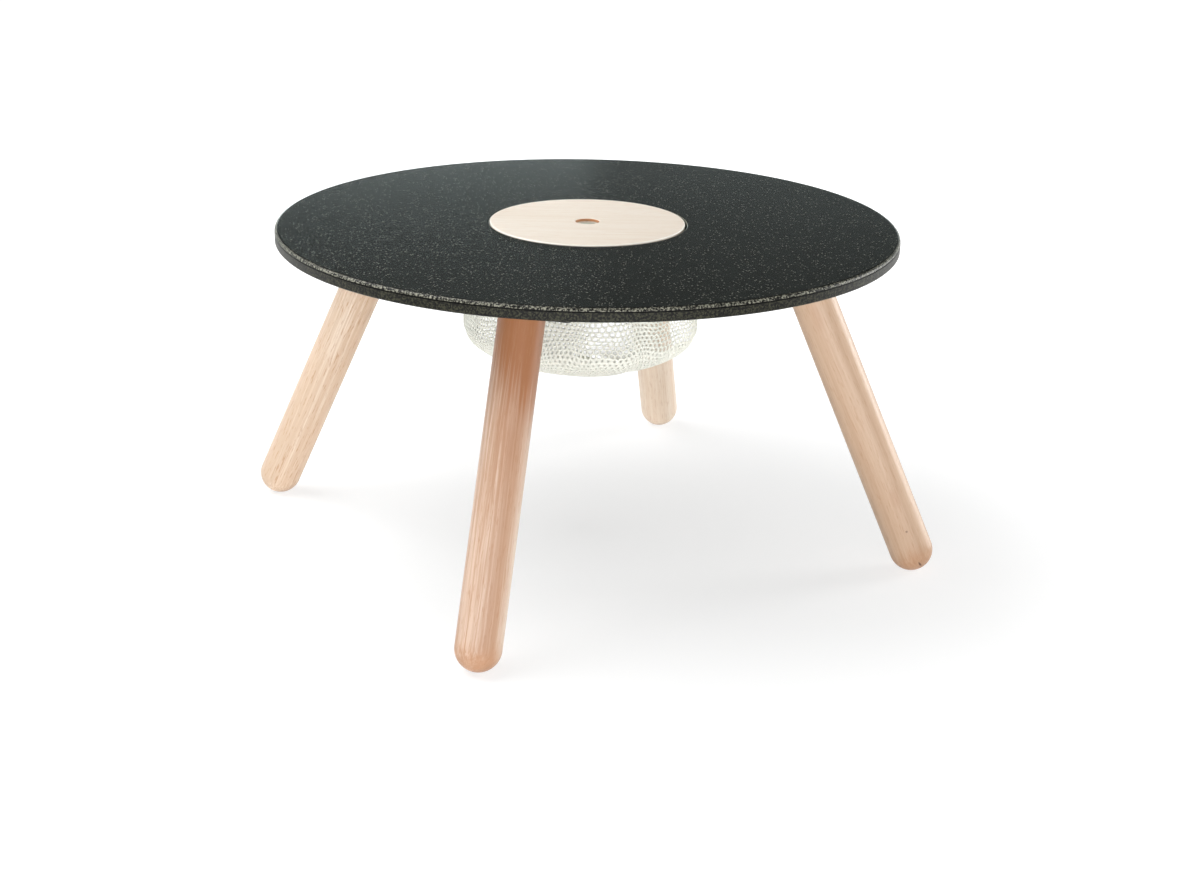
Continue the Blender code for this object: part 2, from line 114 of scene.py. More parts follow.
class BoardSettings(PropertyGroup):
    """The board's edge and colours."""

    round_height: length_property("Round height", "Height of the rounded upper arris", 3.8 * MM)
    round_depth: length_property("Round depth", "Depth of the rounded upper arris", 4.2 * MM)
    quirk_height: length_property("Quirk height", "Width of the fine groove under the round", 1.0 * MM)
    quirk_depth: length_property("Quirk depth", "Depth of the fine groove under the round", 0.9 * MM)
    bottom_arris: length_property("Bottom arris", "Chamfer of the lower edge", 1.2 * MM)
    hole_arris: length_property("Hole arris", "Chamfer round the lid's rebate", 1.0 * MM)
    rebate_radius: length_property("Rebate radius", "Radius of the lid's rebate", 116.8 * MM)
    mouth_radius: length_property("Mouth radius", "Radius of the through hole", 107 * MM)
    grain_size: length_property("Grain size", "Size of the face's pressed grains", 1.5 * MM)
    edge_grain_size: length_property("Edge grain size", "Size of the machined edge's grains", 2.2 * MM)
    fleck_gap: length_property("Fleck gap", "Distance between pale flecks", 3.1 * MM)
    face_dark: colour_property("Face", "Dyed face between the grains", "#070704")
    face_pale: colour_property("Face grain", "Paler grains of the face", "#22221D")
    fleck: colour_property("Fleck", "Pale dust that the dye has left", "#86857A")
    edge_dark: colour_property("Edge", "Machined edge between the grains", "#050504")
    edge_pale: colour_property("Edge grain", "Pale grains of the machined edge", "#3B3B2D")
    # The groove colour is painted shade, darkening the fine groove under the round
    quirk_shade: colour_property("Groove", "Dye and dirt settled in the groove", "#050504")
    # The arris grain colour is partly worn pale grains and partly a painted highlight along the rounded
    # arris
    arris_wear_and_highlight: colour_property("Arris grain", "Worn pale grains of the rounded arris", "#989788")


class LidSettings(PropertyGroup):
    """The lid's edges, finger hole and wood."""

    upper_round: length_property("Upper round", "Rounding of the upper edge", 1.6 * MM)
    lower_round: length_property("Lower round", "Rounding of the lower edge", 0.8 * MM)
    hole_diameter: length_property("Finger hole", "Diameter of the finger hole", 28 * MM)
    hole_round: length_property("Hole round", "Rounding of the hole's edges", 1.4 * MM)
    pale: colour_property("Pale wood", "Early wood of the lid", "#F4E9DC")
    deep: colour_property("Deep wood", "Late wood of the lid", "#EBDCCB")
    pore: colour_property("Pores", "Pores of the lid's wood", "#DFC6AC")
    hole_wall: colour_property("Hole wall", "Cut fibres on the finger hole's wall", "#BD8459")
    # The rim colour is a painted highlight on the lid's upper rounded edge and on the lower part of the
    # finger hole's wall
    rim: colour_property("Highlit rim", "Bare sanded fibres of the lid's rim", "#FEF8EE")


class NetSettings(PropertyGroup):
    """The net bag's mesh and yarn."""

    columns: IntProperty(name="Columns", description="Meshes round the bag", default=144, min=24)
    yarn: length_property("Yarn", "Thickness of the net", 0.9 * MM)
    widest_height: length_property("Widest height", "Height of the bag's widest ring", 265 * MM)
    gather_radius: length_property("Gather radius", "Where the net is drawn closed", 17 * MM)
    sway: length_property("Sway", "How far the bag hangs to one side", 5.5 * MM)
    yarn_colour: colour_property("Yarn colour", "Undyed cotton yarn", "#FDFDF3")


class LegSettings(PropertyGroup):
    """The dowel legs and their wedge blocks."""

    diameter: length_property("Diameter", "Diameter of the dowel", 51 * MM)
    top_arris: length_property("Top arris", "Chamfer of the leg's upper end", 1.2 * MM)
    rake: FloatProperty(name="Rake", description="Lean of the leg", default=radians(24.5), subtype="ANGLE")
    circle: length_property("Leg circle", "Diameter through the leg axes at the underside", 494 * MM)
    block_depth: length_property("Block depth", "Depth of the block on the leg's axis", 26 * MM)
    pale: colour_property("Pale wood", "Sapwood of the palest legs", "#E9DAC9")
    deep: colour_property("Deep wood", "Late wood of the palest legs", "#D6BCA3")
    warm_pale: colour_property("Warm pale wood", "Early wood of the front left leg", "#DBC2AF")
    warm_deep: colour_property("Warm deep wood", "Late wood of the front left leg", "#B9947A")
    even_pale: colour_property("Even pale wood", "Early wood of the front right leg", "#D2B59B")
    even_deep: colour_property("Even deep wood", "Late wood of the front right leg", "#C4A388")
    # The tanned colour is painted shade on the back left leg, darkening its top under the board and its left
    # side
    tan: colour_property("Tanned wood", "Deeper wood on the back left leg", "#BCA38C")
    end_grain: colour_property("End grain", "End grain of the rounded feet", "#B98A68")
    pore: colour_property("Pores", "Open pores of the legs' wood", "#AE7E5A")
    dyed_pale: colour_property("Dyed wood", "Early wood of the dark wedge blocks", "#34342E")
    dyed_deep: colour_property("Dyed deep wood", "Late wood of the dark wedge blocks", "#23231F")
    heart: colour_property("Heartwood", "Brown heartwood at the front left leg's top", "#A56C46")
    rosy: colour_property("Rosy wood", "Pinker zones of the legs", "#BC9478")
    split: colour_property("Split", "Dark of a small split and a pin knot", "#6A4630")


class FixingSettings(PropertyGroup):
    """The wood screws."""

    head_height: length_property("Head height", "Height of the pan head", 2.6 * MM)
    shank_diameter: length_property("Shank", "Diameter of the screw", 4 * MM)
    recess_depth: length_property("Recess", "Depth of the cross recess", 1.5 * MM)
    steel: colour_property("Steel", "Zinc plated steel", "#C9C9C4")


class StageSettings(PropertyGroup):
    """The floor, the lamps and the world."""

    floor: colour_property("Floor", "Pale floor, as it lights the table", "#F7F7F7")
    floor_seen: colour_property("Floor seen", "How much of the light the seen floor shows", "#9C9C9C")
    floor_lift: FloatProperty(
        name="Floor lift", description="White added to the floor under the table, growing to one outside",
        default=0.58,
    )
    lit_radius: length_property("Lit radius", "Where the floor gets all of its added white", 1.05)
    front: FloatProperty(name="Front", description="White light from the camera's side", default=0.18)
    horizon: FloatProperty(name="Horizon", description="White light low behind the table", default=1.8)
    back_tint: colour_property("Back tint", "Colour of the light behind the table", "#EEFFFF")
    walls: FloatProperty(name="Walls", description="White light high behind the table", default=0.05)
    lamps: FloatProperty(name="Lamps", description="Scale of the lamps' glow", default=1.0)


def add_node(tree, kind, links=None, **settings):
    """One node with its settings. Links maps an input to a socket, or to a value for it."""
    node = tree.nodes.new(kind)
    for name, value in settings.items():
        setattr(node, name, value)
    for name, value in (links or {}).items():
        if isinstance(value, bpy.types.NodeSocket):
            tree.links.new(value, node.inputs[name])
        else:
            node.inputs[name].default_value = value
    return node


def new_material(name):
    """A material with its tree, its Principled shader and the object coordinates."""
    material = bpy.data.materials.new(name)
    material.use_nodes = True
    tree = material.node_tree
    place = add_node(tree, "ShaderNodeTexCoord").outputs["Object"]
    return material, tree, tree.nodes["Principled BSDF"], place


def distance_from_axis(tree, place):
    """How far a place lies from the Z axis."""
    flat = add_node(tree, "ShaderNodeVectorMath", {0: place, 1: (1, 1, 0)}, operation="MULTIPLY").outputs[0]
    return add_node(tree, "ShaderNodeVectorMath", {0: flat}, operation="LENGTH").outputs["Value"]


def dyed_board(s):
    """Pressed wood-dust board, dyed dark and sealed: fine pale grains, most where it was machined."""
    # To the eye: near black with a satin shine above, and rougher, grainier and paler along its edges. The
    # pale arrises are partly worn grains and partly a painted highlight, and the groove under the round has
    # painted shade.
    # The real dust is some 0.3 mm across, and its grains are drawn five times coarser, so that they show
    material, tree, shader, place = new_material("dyed pressed wood-dust board")
    height = add_node(tree, "ShaderNodeSeparateXYZ", {0: place}).outputs["Z"]
    depth = add_node(tree, "ShaderNodeMath", {0: FACE_HEIGHT, 1: height}, operation="SUBTRACT").outputs[0]
    machined = add_node(
        tree, "ShaderNodeMapRange",
        {"Value": depth, "From Min": 0.1 * MM, "From Max": 0.6 * MM}, interpolation_type="SMOOTHSTEP",
    ).outputs[0]
    below_round = add_node(
        tree, "ShaderNodeMapRange",
        {"Value": depth, "From Min": s.round_height - 0.6 * MM, "From Max": s.round_height},
        interpolation_type="SMOOTHSTEP",
    ).outputs[0]
    grain, edge_grain = [
        add_node(
            tree, "ShaderNodeTexNoise", {"Vector": place, "Scale": 1 / size, "Detail": 2, "Roughness": 0.65},
        ).outputs["Fac"]
        for size in (s.grain_size, s.edge_grain_size)
    ]
    cloud_size = 14 * MM
    cloud = add_node(
        tree, "ShaderNodeTexNoise", {"Vector": place, "Scale": 1 / cloud_size, "Detail": 3},
    ).outputs["Fac"]
    dust = add_node(tree, "ShaderNodeTexVoronoi", {"Vector": place, "Scale": 1 / s.fleck_gap})
    pick = add_node(tree, "ShaderNodeSeparateColor", {0: dust.outputs["Color"]}).outputs[0]
    chosen = add_node(
        tree, "ShaderNodeMapRange", {"Value": pick, "From Min": 0.35, "From Max": 1.0},
    ).outputs[0]
    dot = add_node(
        tree, "ShaderNodeMapRange",
        {"Value": dust.outputs["Distance"], "From Min": 0.14, "From Max": 0.36, "To Min": 1, "To Max": 0},
    ).outputs[0]
    flecks = add_node(tree, "ShaderNodeMath", {0: chosen, 1: dot}, operation="MULTIPLY").outputs[0]
    face_grain = add_node(
        tree, "ShaderNodeMapRange", {"Value": grain, "From Min": 0.35, "From Max": 0.7},
    ).outputs[0]
    face = add_node(
        tree, "ShaderNodeMix", {0: face_grain, 6: s.face_dark, 7: s.face_pale}, data_type="RGBA",
    ).outputs[2]
    face = add_node(tree, "ShaderNodeMix", {0: flecks, 6: face, 7: s.fleck}, data_type="RGBA").outputs[2]
    bright = add_node(
        tree, "ShaderNodeMapRange", {"Value": edge_grain, "From Min": 0.46, "From Max": 0.62},
    ).outputs[0]
    # The arris round the lid's hole is painted paler all round, a painted highlight
    hole_rim = add_node(
        tree, "ShaderNodeMapRange",
        {"Value": distance_from_axis(tree, place), "From Min": s.rebate_radius + s.hole_arris,
         "From Max": s.rebate_radius, "To Max": 0.9},
    ).outputs[0]
    hole_arris_highlight = add_node(
        tree, "ShaderNodeMapRange",
        {"Value": depth, "From Min": 1.5 * s.hole_arris, "From Max": s.hole_arris, "To Max": hole_rim},
    ).outputs[0]
    bright = add_node(tree, "ShaderNodeMath", {0: bright, 1: hole_arris_highlight}, operation="MAXIMUM").outputs[0]
    # The rounded arris is paler than the band below it, partly from wear and partly as a painted highlight
    pale = add_node(
        tree, "ShaderNodeMix", {0: below_round, 6: s.arris_wear_and_highlight, 7: s.edge_pale}, data_type="RGBA",
    ).outputs[2]
    edge = add_node(tree, "ShaderNodeMix", {0: bright, 6: s.edge_dark, 7: pale}, data_type="RGBA").outputs[2]
    # The fine groove under the round is painted dark, a painted shade in the recess
    from_quirk = add_node(
        tree, "ShaderNodeMath", {0: depth, 1: s.round_height + s.quirk_height / 2}, operation="SUBTRACT",
    ).outputs[0]
    from_quirk = add_node(tree, "ShaderNodeMath", {0: from_quirk}, operation="ABSOLUTE").outputs[0]
    quirk_shade_mask = add_node(
        tree, "ShaderNodeMapRange",
        {"Value": from_quirk, "From Min": s.quirk_height * 0.6, "From Max": s.quirk_height, "To Min": 0.9,
         "To Max": 0},
    ).outputs[0]
    edge = add_node(
        tree, "ShaderNodeMix", {0: quirk_shade_mask, 6: edge, 7: s.quirk_shade}, data_type="RGBA",
    ).outputs[2]
    surface = add_node(tree, "ShaderNodeMix", {0: machined, 6: face, 7: edge}, data_type="RGBA").outputs[2]
    tree.links.new(surface, shader.inputs["Base Color"])
    rough = add_node(
        tree, "ShaderNodeMapRange",
        {"Value": cloud, "From Min": 0.3, "From Max": 0.7, "To Min": 0.18, "To Max": 0.21},
    ).outputs[0]
    rough = add_node(tree, "ShaderNodeMix", {0: machined, 2: rough, 3: 0.45}).outputs[0]
    tree.links.new(rough, shader.inputs["Roughness"])
    shader.inputs["Specular IOR Level"].default_value = 0.2
    bump = add_node(
        tree, "ShaderNodeBump", {"Height": grain, "Strength": 0.3, "Distance": 0.02 * MM},
    ).outputs[0]
    bump = add_node(
        tree, "ShaderNodeBump",
        {"Height": edge_grain, "Strength": machined, "Distance": 0.25 * MM, "Normal": bump},
    ).outputs[0]
    tree.links.new(bump, shader.inputs["Normal"])
    return material


# Sizes of the wood's patterns across the grain. Real fibres and pores are some 0.2 mm wide, and are
# drawn coarser, so that they show
WANDER_SIZE = 42 * MM
WANDER = 12 * MM
BLOTCH_SIZE = 30 * MM
STREAK_SIZE = 7 * MM
FIBRE_SIZE = 2.1 * MM
PORE_SIZE = 1.4 * MM


def lacquered_wood(
    name, pale, deep, pore, place_of_grain, ring_gap, pith, contrast=1.0, patches=(), marks=()
):
    """Rubberwood under clear satin lacquer: long fibres, faint growth rings and short open pores.

    To the eye it is warm and pale, with a soft shine that breaks a little along the fibres.

    place_of_grain is the frame whose +Z runs with the grain, and pith is where the tree's middle
    lies in that frame's plan. A patch is a colour, the way toward it in that frame, the distances that
    way over which it fades in, how strong it gets and how far its streaks reach. A mark is a spot of a
    colour with its middle and half sizes in that frame.
    """
    material, tree, shader, place = new_material(name)
    local = add_node(
        tree, "ShaderNodeMapping",
        {"Vector": place, "Location": place_of_grain.to_translation(),
         "Rotation": place_of_grain.to_euler()}, vector_type="TEXTURE",
    ).outputs[0]
    slow = add_node(tree, "ShaderNodeMapping", {"Vector": local, "Scale": (1, 1, 0.16)}).outputs[0]
    wander = add_node(
        tree, "ShaderNodeTexNoise", {"Vector": slow, "Scale": 1 / WANDER_SIZE, "Detail": 2},
    ).outputs["Color"]
    shift = add_node(
        tree, "ShaderNodeVectorMath", {0: wander, 1: (0.5, 0.5, 0.5)}, operation="SUBTRACT",
    ).outputs[0]
    shift = add_node(
        tree, "ShaderNodeVectorMath", {0: shift, "Scale": WANDER}, operation="SCALE",
    ).outputs[0]
    bent = add_node(tree, "ShaderNodeVectorMath", {0: local, 1: shift}, operation="ADD").outputs[0]
    from_pith = add_node(
        tree, "ShaderNodeVectorMath", {0: bent, 1: (*pith, 0)}, operation="SUBTRACT",
    ).outputs[0]
    rings = add_node(
        tree, "ShaderNodeTexWave", {"Vector": from_pith, "Scale": pi / 10 / ring_gap, "Distortion": 0},
        wave_type="RINGS", rings_direction="Z", wave_profile="SAW",
    ).outputs["Fac"]
    along = add_node(tree, "ShaderNodeMapping", {"Vector": bent, "Scale": (1, 1, 0.015)}).outputs[0]
    streak = add_node(
        tree, "ShaderNodeTexNoise", {"Vector": along, "Scale": 1 / STREAK_SIZE, "Detail": 2},
    ).outputs["Fac"]
    fibre = add_node(
        tree, "ShaderNodeTexNoise",
        {"Vector": along, "Scale": 1 / FIBRE_SIZE, "Detail": 3, "Roughness": 0.6},
    ).outputs["Fac"]
    short = add_node(tree, "ShaderNodeMapping", {"Vector": bent, "Scale": (1, 1, 0.1)}).outputs[0]
    pores = add_node(
        tree, "ShaderNodeTexNoise", {"Vector": short, "Scale": 1 / PORE_SIZE, "Detail": 2},
    ).outputs["Fac"]
    blotch = add_node(
        tree, "ShaderNodeTexNoise", {"Vector": slow, "Scale": 1 / BLOTCH_SIZE, "Detail": 2},
    ).outputs["Fac"]
    tone = add_node(tree, "ShaderNodeMath", {0: rings, 1: 0.3 * contrast}, operation="MULTIPLY").outputs[0]
    parts = ((fibre, 0.38, 0.62, 0.65), (streak, 0.5, 0.68, 0.5), (blotch, 0.4, 0.65, 0.4))
    for pattern, low, high, most in parts:
        part = add_node(
            tree, "ShaderNodeMapRange",
            {"Value": pattern, "From Min": low, "From Max": high, "To Max": most * contrast},
        ).outputs[0]
        tone = add_node(
            tree, "ShaderNodeMath", {0: tone, 1: part}, operation="ADD", use_clamp=True,
        ).outputs[0]
    wood = add_node(tree, "ShaderNodeMix", {0: tone, 6: pale, 7: deep}, data_type="RGBA").outputs[2]
    for tint, toward, start, end, strongest, reach in patches:
        up = add_node(
            tree, "ShaderNodeVectorMath", {0: bent, 1: toward}, operation="DOT_PRODUCT",
        ).outputs["Value"]
        ragged = add_node(
            tree, "ShaderNodeMapRange",
            {"Value": fibre, "From Min": 0.3, "From Max": 0.7, "To Min": -reach, "To Max": reach},
        ).outputs[0]
        up = add_node(tree, "ShaderNodeMath", {0: up, 1: ragged}, operation="ADD").outputs[0]
        fade = add_node(
            tree, "ShaderNodeMapRange",
            {"Value": up, "From Min": start, "From Max": end, "To Max": strongest},
            interpolation_type="SMOOTHSTEP",
        ).outputs[0]
        wood = add_node(tree, "ShaderNodeMix", {0: fade, 6: wood, 7: tint}, data_type="RGBA").outputs[2]
    open_pore = add_node(
        tree, "ShaderNodeMapRange",
        {"Value": pores, "From Min": 0.57, "From Max": 0.68, "To Min": 0, "To Max": 0.5 * contrast},
    ).outputs[0]
    wood = add_node(tree, "ShaderNodeMix", {0: open_pore, 6: wood, 7: pore}, data_type="RGBA").outputs[2]
    for tint, middle, size, strongest in marks:
        off = add_node(
            tree, "ShaderNodeVectorMath", {0: local, 1: middle}, operation="SUBTRACT",
        ).outputs[0]
        off = add_node(tree, "ShaderNodeVectorMath", {0: off, 1: size}, operation="DIVIDE").outputs[0]
        off = add_node(tree, "ShaderNodeVectorMath", {0: off}, operation="LENGTH").outputs["Value"]
        spot = add_node(
            tree, "ShaderNodeMapRange",
            {"Value": off, "From Min": 1.0, "From Max": 0.5, "To Max": strongest},
        ).outputs[0]
        wood = add_node(tree, "ShaderNodeMix", {0: spot, 6: wood, 7: tint}, data_type="RGBA").outputs[2]
    tree.links.new(wood, shader.inputs["Base Color"])
    rough = add_node(
        tree, "ShaderNodeMapRange",
        {"Value": fibre, "From Min": 0.3, "From Max": 0.7, "To Min": 0.36, "To Max": 0.44},
    ).outputs[0]
    tree.links.new(rough, shader.inputs["Roughness"])
    shader.inputs["Specular IOR Level"].default_value = 0.35
    relief = add_node(tree, "ShaderNodeMath", {0: fibre, 1: open_pore}, operation="SUBTRACT").outputs[0]
    bump = add_node(
        tree, "ShaderNodeBump", {"Height": relief, "Strength": 0.25, "Distance": 0.05 * MM},
    ).outputs[0]
    tree.links.new(bump, shader.inputs["Normal"])
    return material


def knitted_cotton(s):
    """Undyed cotton yarn: soft, matt, a little hairy, and light comes through it."""
    # Real hairs are some 0.02 mm thick, and are drawn far coarser, so that they show
    hair_size = 0.7 * MM
    material, tree, shader, place = new_material("knitted cotton net")
    hairs = add_node(
        tree, "ShaderNodeTexNoise",
        {"Vector": place, "Scale": 1 / hair_size, "Detail": 3, "Roughness": 0.7},
    ).outputs["Fac"]
    shade = add_node(
        tree, "ShaderNodeMapRange",
        {"Value": hairs, "From Min": 0.3, "From Max": 0.7, "To Min": 0.97, "To Max": 1.0},
    ).outputs[0]
    yarn = add_node(
        tree, "ShaderNodeMix", {0: 1.0, 6: s.yarn_colour, 7: shade}, data_type="RGBA", blend_type="MULTIPLY",
    ).outputs[2]
    tree.links.new(yarn, shader.inputs["Base Color"])
    shader.inputs["Roughness"].default_value = 0.9
    shader.inputs["Specular IOR Level"].default_value = 0.2
    bump = add_node(
        tree, "ShaderNodeBump", {"Height": hairs, "Strength": 0.4, "Distance": 0.12 * MM},
    ).outputs[0]
    tree.links.new(bump, shader.inputs["Normal"])
    through = add_node(tree, "ShaderNodeBsdfTranslucent", {"Color": yarn, "Normal": bump}).outputs[0]
    both = add_node(
        tree, "ShaderNodeMixShader", {0: 0.1, 1: shader.outputs[0], 2: through},
    ).outputs[0]
    tree.links.new(both, tree.nodes["Material Output"].inputs["Surface"])
    return material


def zinc_steel(s):
    """Zinc plated steel, pressed and tumbled: a grey metal with a slightly cloudy shine."""
    cloud_size = 2 * MM
    material, tree, shader, place = new_material("zinc plated steel")
    cloud = add_node(
        tree, "ShaderNodeTexNoise", {"Vector": place, "Scale": 1 / cloud_size, "Detail": 2},
    ).outputs["Fac"]
    rough = add_node(
        tree, "ShaderNodeMapRange",
        {"Value": cloud, "From Min": 0.3, "From Max": 0.7, "To Min": 0.24, "To Max": 0.4},
    ).outputs[0]
    shader.inputs["Base Color"].default_value = s.steel
    shader.inputs["Metallic"].default_value = 1
    tree.links.new(rough, shader.inputs["Roughness"])
    return material


def turned(points, steps, closed=False):
    """A solid of revolution about Z from a profile of radius and height."""
    bm = bmesh.new()
    verts = [bm.verts.new((r, 0, z)) for r, z in points]
    pairs = list(zip(verts, verts[1:]))
    if closed:
        pairs.append((verts[-1], verts[0]))
    edges = [bm.edges.new(pair) for pair in pairs]
    bmesh.ops.spin(
        bm, geom=verts + edges, cent=(0, 0, 0), axis=(0, 0, 1), angle=2 * pi, steps=steps, use_merge=True
    )
    bmesh.ops.remove_doubles(bm, verts=bm.verts, dist=MERGE_DISTANCE)
    bmesh.ops.recalc_face_normals(bm, faces=bm.faces)
    return bm


def arc(centre, across, up, start, end, count):
    """Points on an ellipse arc, with angles from the outward direction."""
    angles = [start + (end - start) * i / count for i in range(count + 1)]
    return [(centre[0] + across * cos(a), centre[1] + up * sin(a)) for a in angles]


def finish_piece(bm, name, material, body, nodes, sharp=radians(40)):
    """The bmesh as a shaded object that rides on its body and stands for its CAD nodes."""
    mesh = bpy.data.meshes.new(name)
    bm.to_mesh(mesh)
    bm.free()
    mesh.shade_smooth()
    mesh.set_sharp_from_angle(angle=sharp)
    mesh.materials.append(material)
    piece = bpy.data.objects.new(name, mesh)
    bpy.context.scene.collection.objects.link(piece)
    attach(piece, body)
    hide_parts(*nodes)
    return piece


def merged_copy(node):
    """A welded copy of a CAD node's loose triangles, with its flat faces whole again."""
    bm = bmesh.new()
    bm.from_mesh(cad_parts[node].data)
    bmesh.ops.remove_doubles(bm, verts=bm.verts, dist=10 * MERGE_DISTANCE)
    bmesh.ops.dissolve_limit(bm, angle_limit=radians(1), verts=bm.verts, edges=bm.edges)
    return bm


def leg_frame(s, index):
    """The frame of one leg: origin at its seat on the block, +Z up along the leg."""
    angle = radians(-45) + index * pi / 2
    radius = s.circle / 2 + s.block_depth * tan(s.rake)
    seat = Vector((radius * cos(angle), radius * sin(angle), UNDERSIDE - s.block_depth))
    return Matrix.Translation(seat) @ Euler((0, -s.rake, angle)).to_matrix().to_4x4()


class PLAYTABLE_OT_board(Operator):
    """Make the dyed round board with its rounded arris, quirk and rebated hole"""

    bl_idname = "playtable.board"
    bl_label = "Board"

    def execute(self, context):
        s = context.scene.playtable_board
        outer = BOARD_RADIUS
        foot = FACE_HEIGHT - s.round_height
        floor = LID_LOW.z - FIT_GAP
        groove = arc(
            (outer, foot - s.quirk_height / 2), s.quirk_depth, s.quirk_height / 2, pi / 2, 3 * pi / 2, 6
        )
        points = [
            (outer - s.round_depth - FLAT_MARGIN, FACE_HEIGHT),
            *arc((outer - s.round_depth, foot), s.round_depth, s.round_height, pi / 2, 0, 10),
            *groove[1:],
            (outer, UNDERSIDE + s.bottom_arris),
            (outer - s.bottom_arris, UNDERSIDE),
            (s.mouth_radius + s.hole_arris / 2, UNDERSIDE),
            (s.mouth_radius, UNDERSIDE + s.hole_arris / 2),
            (s.mouth_radius, floor),
            (s.rebate_radius, floor),
            *arc(
                (s.rebate_radius + s.hole_arris, FACE_HEIGHT - s.hole_arris), s.hole_arris,
                s.hole_arris, pi, pi / 2, 4,
            ),
            (s.rebate_radius + s.hole_arris + FLAT_MARGIN, FACE_HEIGHT),
        ]
        bm = turned(points, 288, closed=True)
        finish_piece(bm, "board", dyed_board(s), "table", ["tabletop"])
        return {"FINISHED"}


class PLAYTABLE_OT_lid(Operator):
    """Make the pale lid with its finger hole"""

    bl_idname = "playtable.lid"
    bl_label = "Lid"

    def execute(self, context):
        s = context.scene.playtable_lid
        hole = s.hole_diameter / 2
        top, low = LID_HIGH.z, LID_LOW.z
        rim = LID_RADIUS - s.upper_round
        low_rim = LID_RADIUS - s.lower_round
        edge = hole + s.hole_round
        points = [
            (rim - FLAT_MARGIN, top),
            *arc((rim, top - s.upper_round), s.upper_round, s.upper_round, pi / 2, 0, 6),
            *arc((low_rim, low + s.lower_round), s.lower_round, s.lower_round, 0, -pi / 2, 4),
            (low_rim - FLAT_MARGIN, low),
            (edge + FLAT_MARGIN, low),
            *arc((edge, low + s.hole_round), s.hole_round, s.hole_round, -pi / 2, -pi, 4),
            *arc((edge, top - s.hole_round), s.hole_round, s.hole_round, pi, pi / 2, 6),
            (edge + FLAT_MARGIN, top),
        ]
        bm = turned(points, 192, closed=True)
        bmesh.ops.translate(bm, vec=LID_CENTRE, verts=bm.verts)
        grain = Matrix.Rotation(CAMERA_TURN, 4, "Z") @ Matrix.Rotation(pi / 2, 4, "Y")
        wood = lacquered_wood(
            "lacquered rubberwood lid", s.pale, s.deep, s.pore, grain, 6 * MM, (0.31, 0.05), contrast=0.7
        )
        tree = wood.node_tree
        shader = tree.nodes["Principled BSDF"]
        face = shader.inputs["Base Color"].links[0].from_socket
        # The finger hole's wall is brown above, and painted near-white below, a painted highlight
        place = add_node(tree, "ShaderNodeTexCoord").outputs["Object"]
        middle = add_node(
            tree, "ShaderNodeVectorMath", {0: place, 1: LID_CENTRE}, operation="SUBTRACT",
        ).outputs[0]
        away = distance_from_axis(tree, middle)
        wall = add_node(
            tree, "ShaderNodeMapRange",
            {"Value": away, "From Min": hole + 0.1 * MM, "From Max": hole + 0.3 * MM, "To Min": 1,
             "To Max": 0}, interpolation_type="SMOOTHSTEP",
        ).outputs[0]
        height = add_node(tree, "ShaderNodeSeparateXYZ", {0: place}).outputs["Z"]
        upper_wall = add_node(
            tree, "ShaderNodeMapRange",
            {"Value": height, "From Min": top - 4.4 * MM, "From Max": top - 3.2 * MM},
        ).outputs[0]
        inner = add_node(
            tree, "ShaderNodeMix", {0: upper_wall, 6: s.rim, 7: s.hole_wall}, data_type="RGBA",
        ).outputs[2]
        cut = add_node(tree, "ShaderNodeMix", {0: wall, 6: face, 7: inner}, data_type="RGBA").outputs[2]
        # The upper edge is painted near-white, a painted highlight along the lid's rounded rim
        highlit = add_node(
            tree, "ShaderNodeMapRange",
            {"Value": away, "From Min": LID_RADIUS - 1.3 * MM, "From Max": LID_RADIUS - 0.8 * MM},
        ).outputs[0]
        upper = add_node(
            tree, "ShaderNodeMapRange",
            {"Value": height, "From Min": top - 1.7 * MM, "From Max": top - 1.1 * MM},
        ).outputs[0]
        highlit = add_node(tree, "ShaderNodeMath", {0: highlit, 1: upper}, operation="MULTIPLY").outputs[0]
        cut = add_node(tree, "ShaderNodeMix", {0: highlit, 6: cut, 7: s.rim}, data_type="RGBA").outputs[2]
        tree.links.new(cut, shader.inputs["Base Color"])
        finish_piece(bm, "lift_lid", wood, "lid", ["lid"])
        return {"FINISHED"}


def turn_between(a, b):
    """The signed angle from b to a, between minus and plus half a turn."""
    return (a - b + pi) % (2 * pi) - pi


def front_angle(theta):
    """An angle about Z, measured from the side of the table that faces the camera."""
    return turn_between(theta, CAMERA_TURN - pi / 2)


def ease(value, low, high):
    """Nought below low, one above high and smooth between; low may be the larger."""
    share = min(1.0, max(0.0, (value - low) / (high - low)))
    return share * share * (3 - 2 * share)


# Slow waves round the net's wall: depth, how many, phase
WAVES = ((0.7 * MM, 3, 0.8), (0.5 * MM, 7, 2.1))
# Where the net bulges near its neck: angle from the camera's side, half width, depth
BULGE = (radians(-88), radians(34), 4 * MM)
# The folds set in over this share of the wall, from the neck down
FOLD_START = 0.35
# The bag has swayed all the way to one side at this distance under the neck
SWAY_REACH = 60 * MM

# Creases of the net: angle from the camera's side, half width, depth
CREASES = (
    (radians(31), radians(4.5), 2.4 * MM),
    (radians(-36), radians(8), 1.4 * MM),
    (radians(78), radians(6), 2.0 * MM),
    (radians(118), radians(6), 2.4 * MM),
    (radians(165), radians(9), 1.8 * MM),
    (radians(-82), radians(6), 2.2 * MM),
    (radians(-128), radians(8), 1.8 * MM),
)

# Where the net's near side is stretched: angle from the camera's side, half width, how far
STRETCHES = (
    (radians(13), radians(12.5), 0.95),
    (radians(53), radians(17), 0.95),
    (radians(-9), radians(9), 0.28),
    (radians(-50), radians(9), 0.45),
)
# The net's far side is more and more stretched from the first of these angles to the second
FAR_ANGLES = (radians(70), radians(92))
# Its underside is stretched inside these radii, on the far side and on the near side
UNDER_RADII_FAR = (100 * MM, 84 * MM)
UNDER_RADII_NEAR = (66 * MM, 46 * MM)
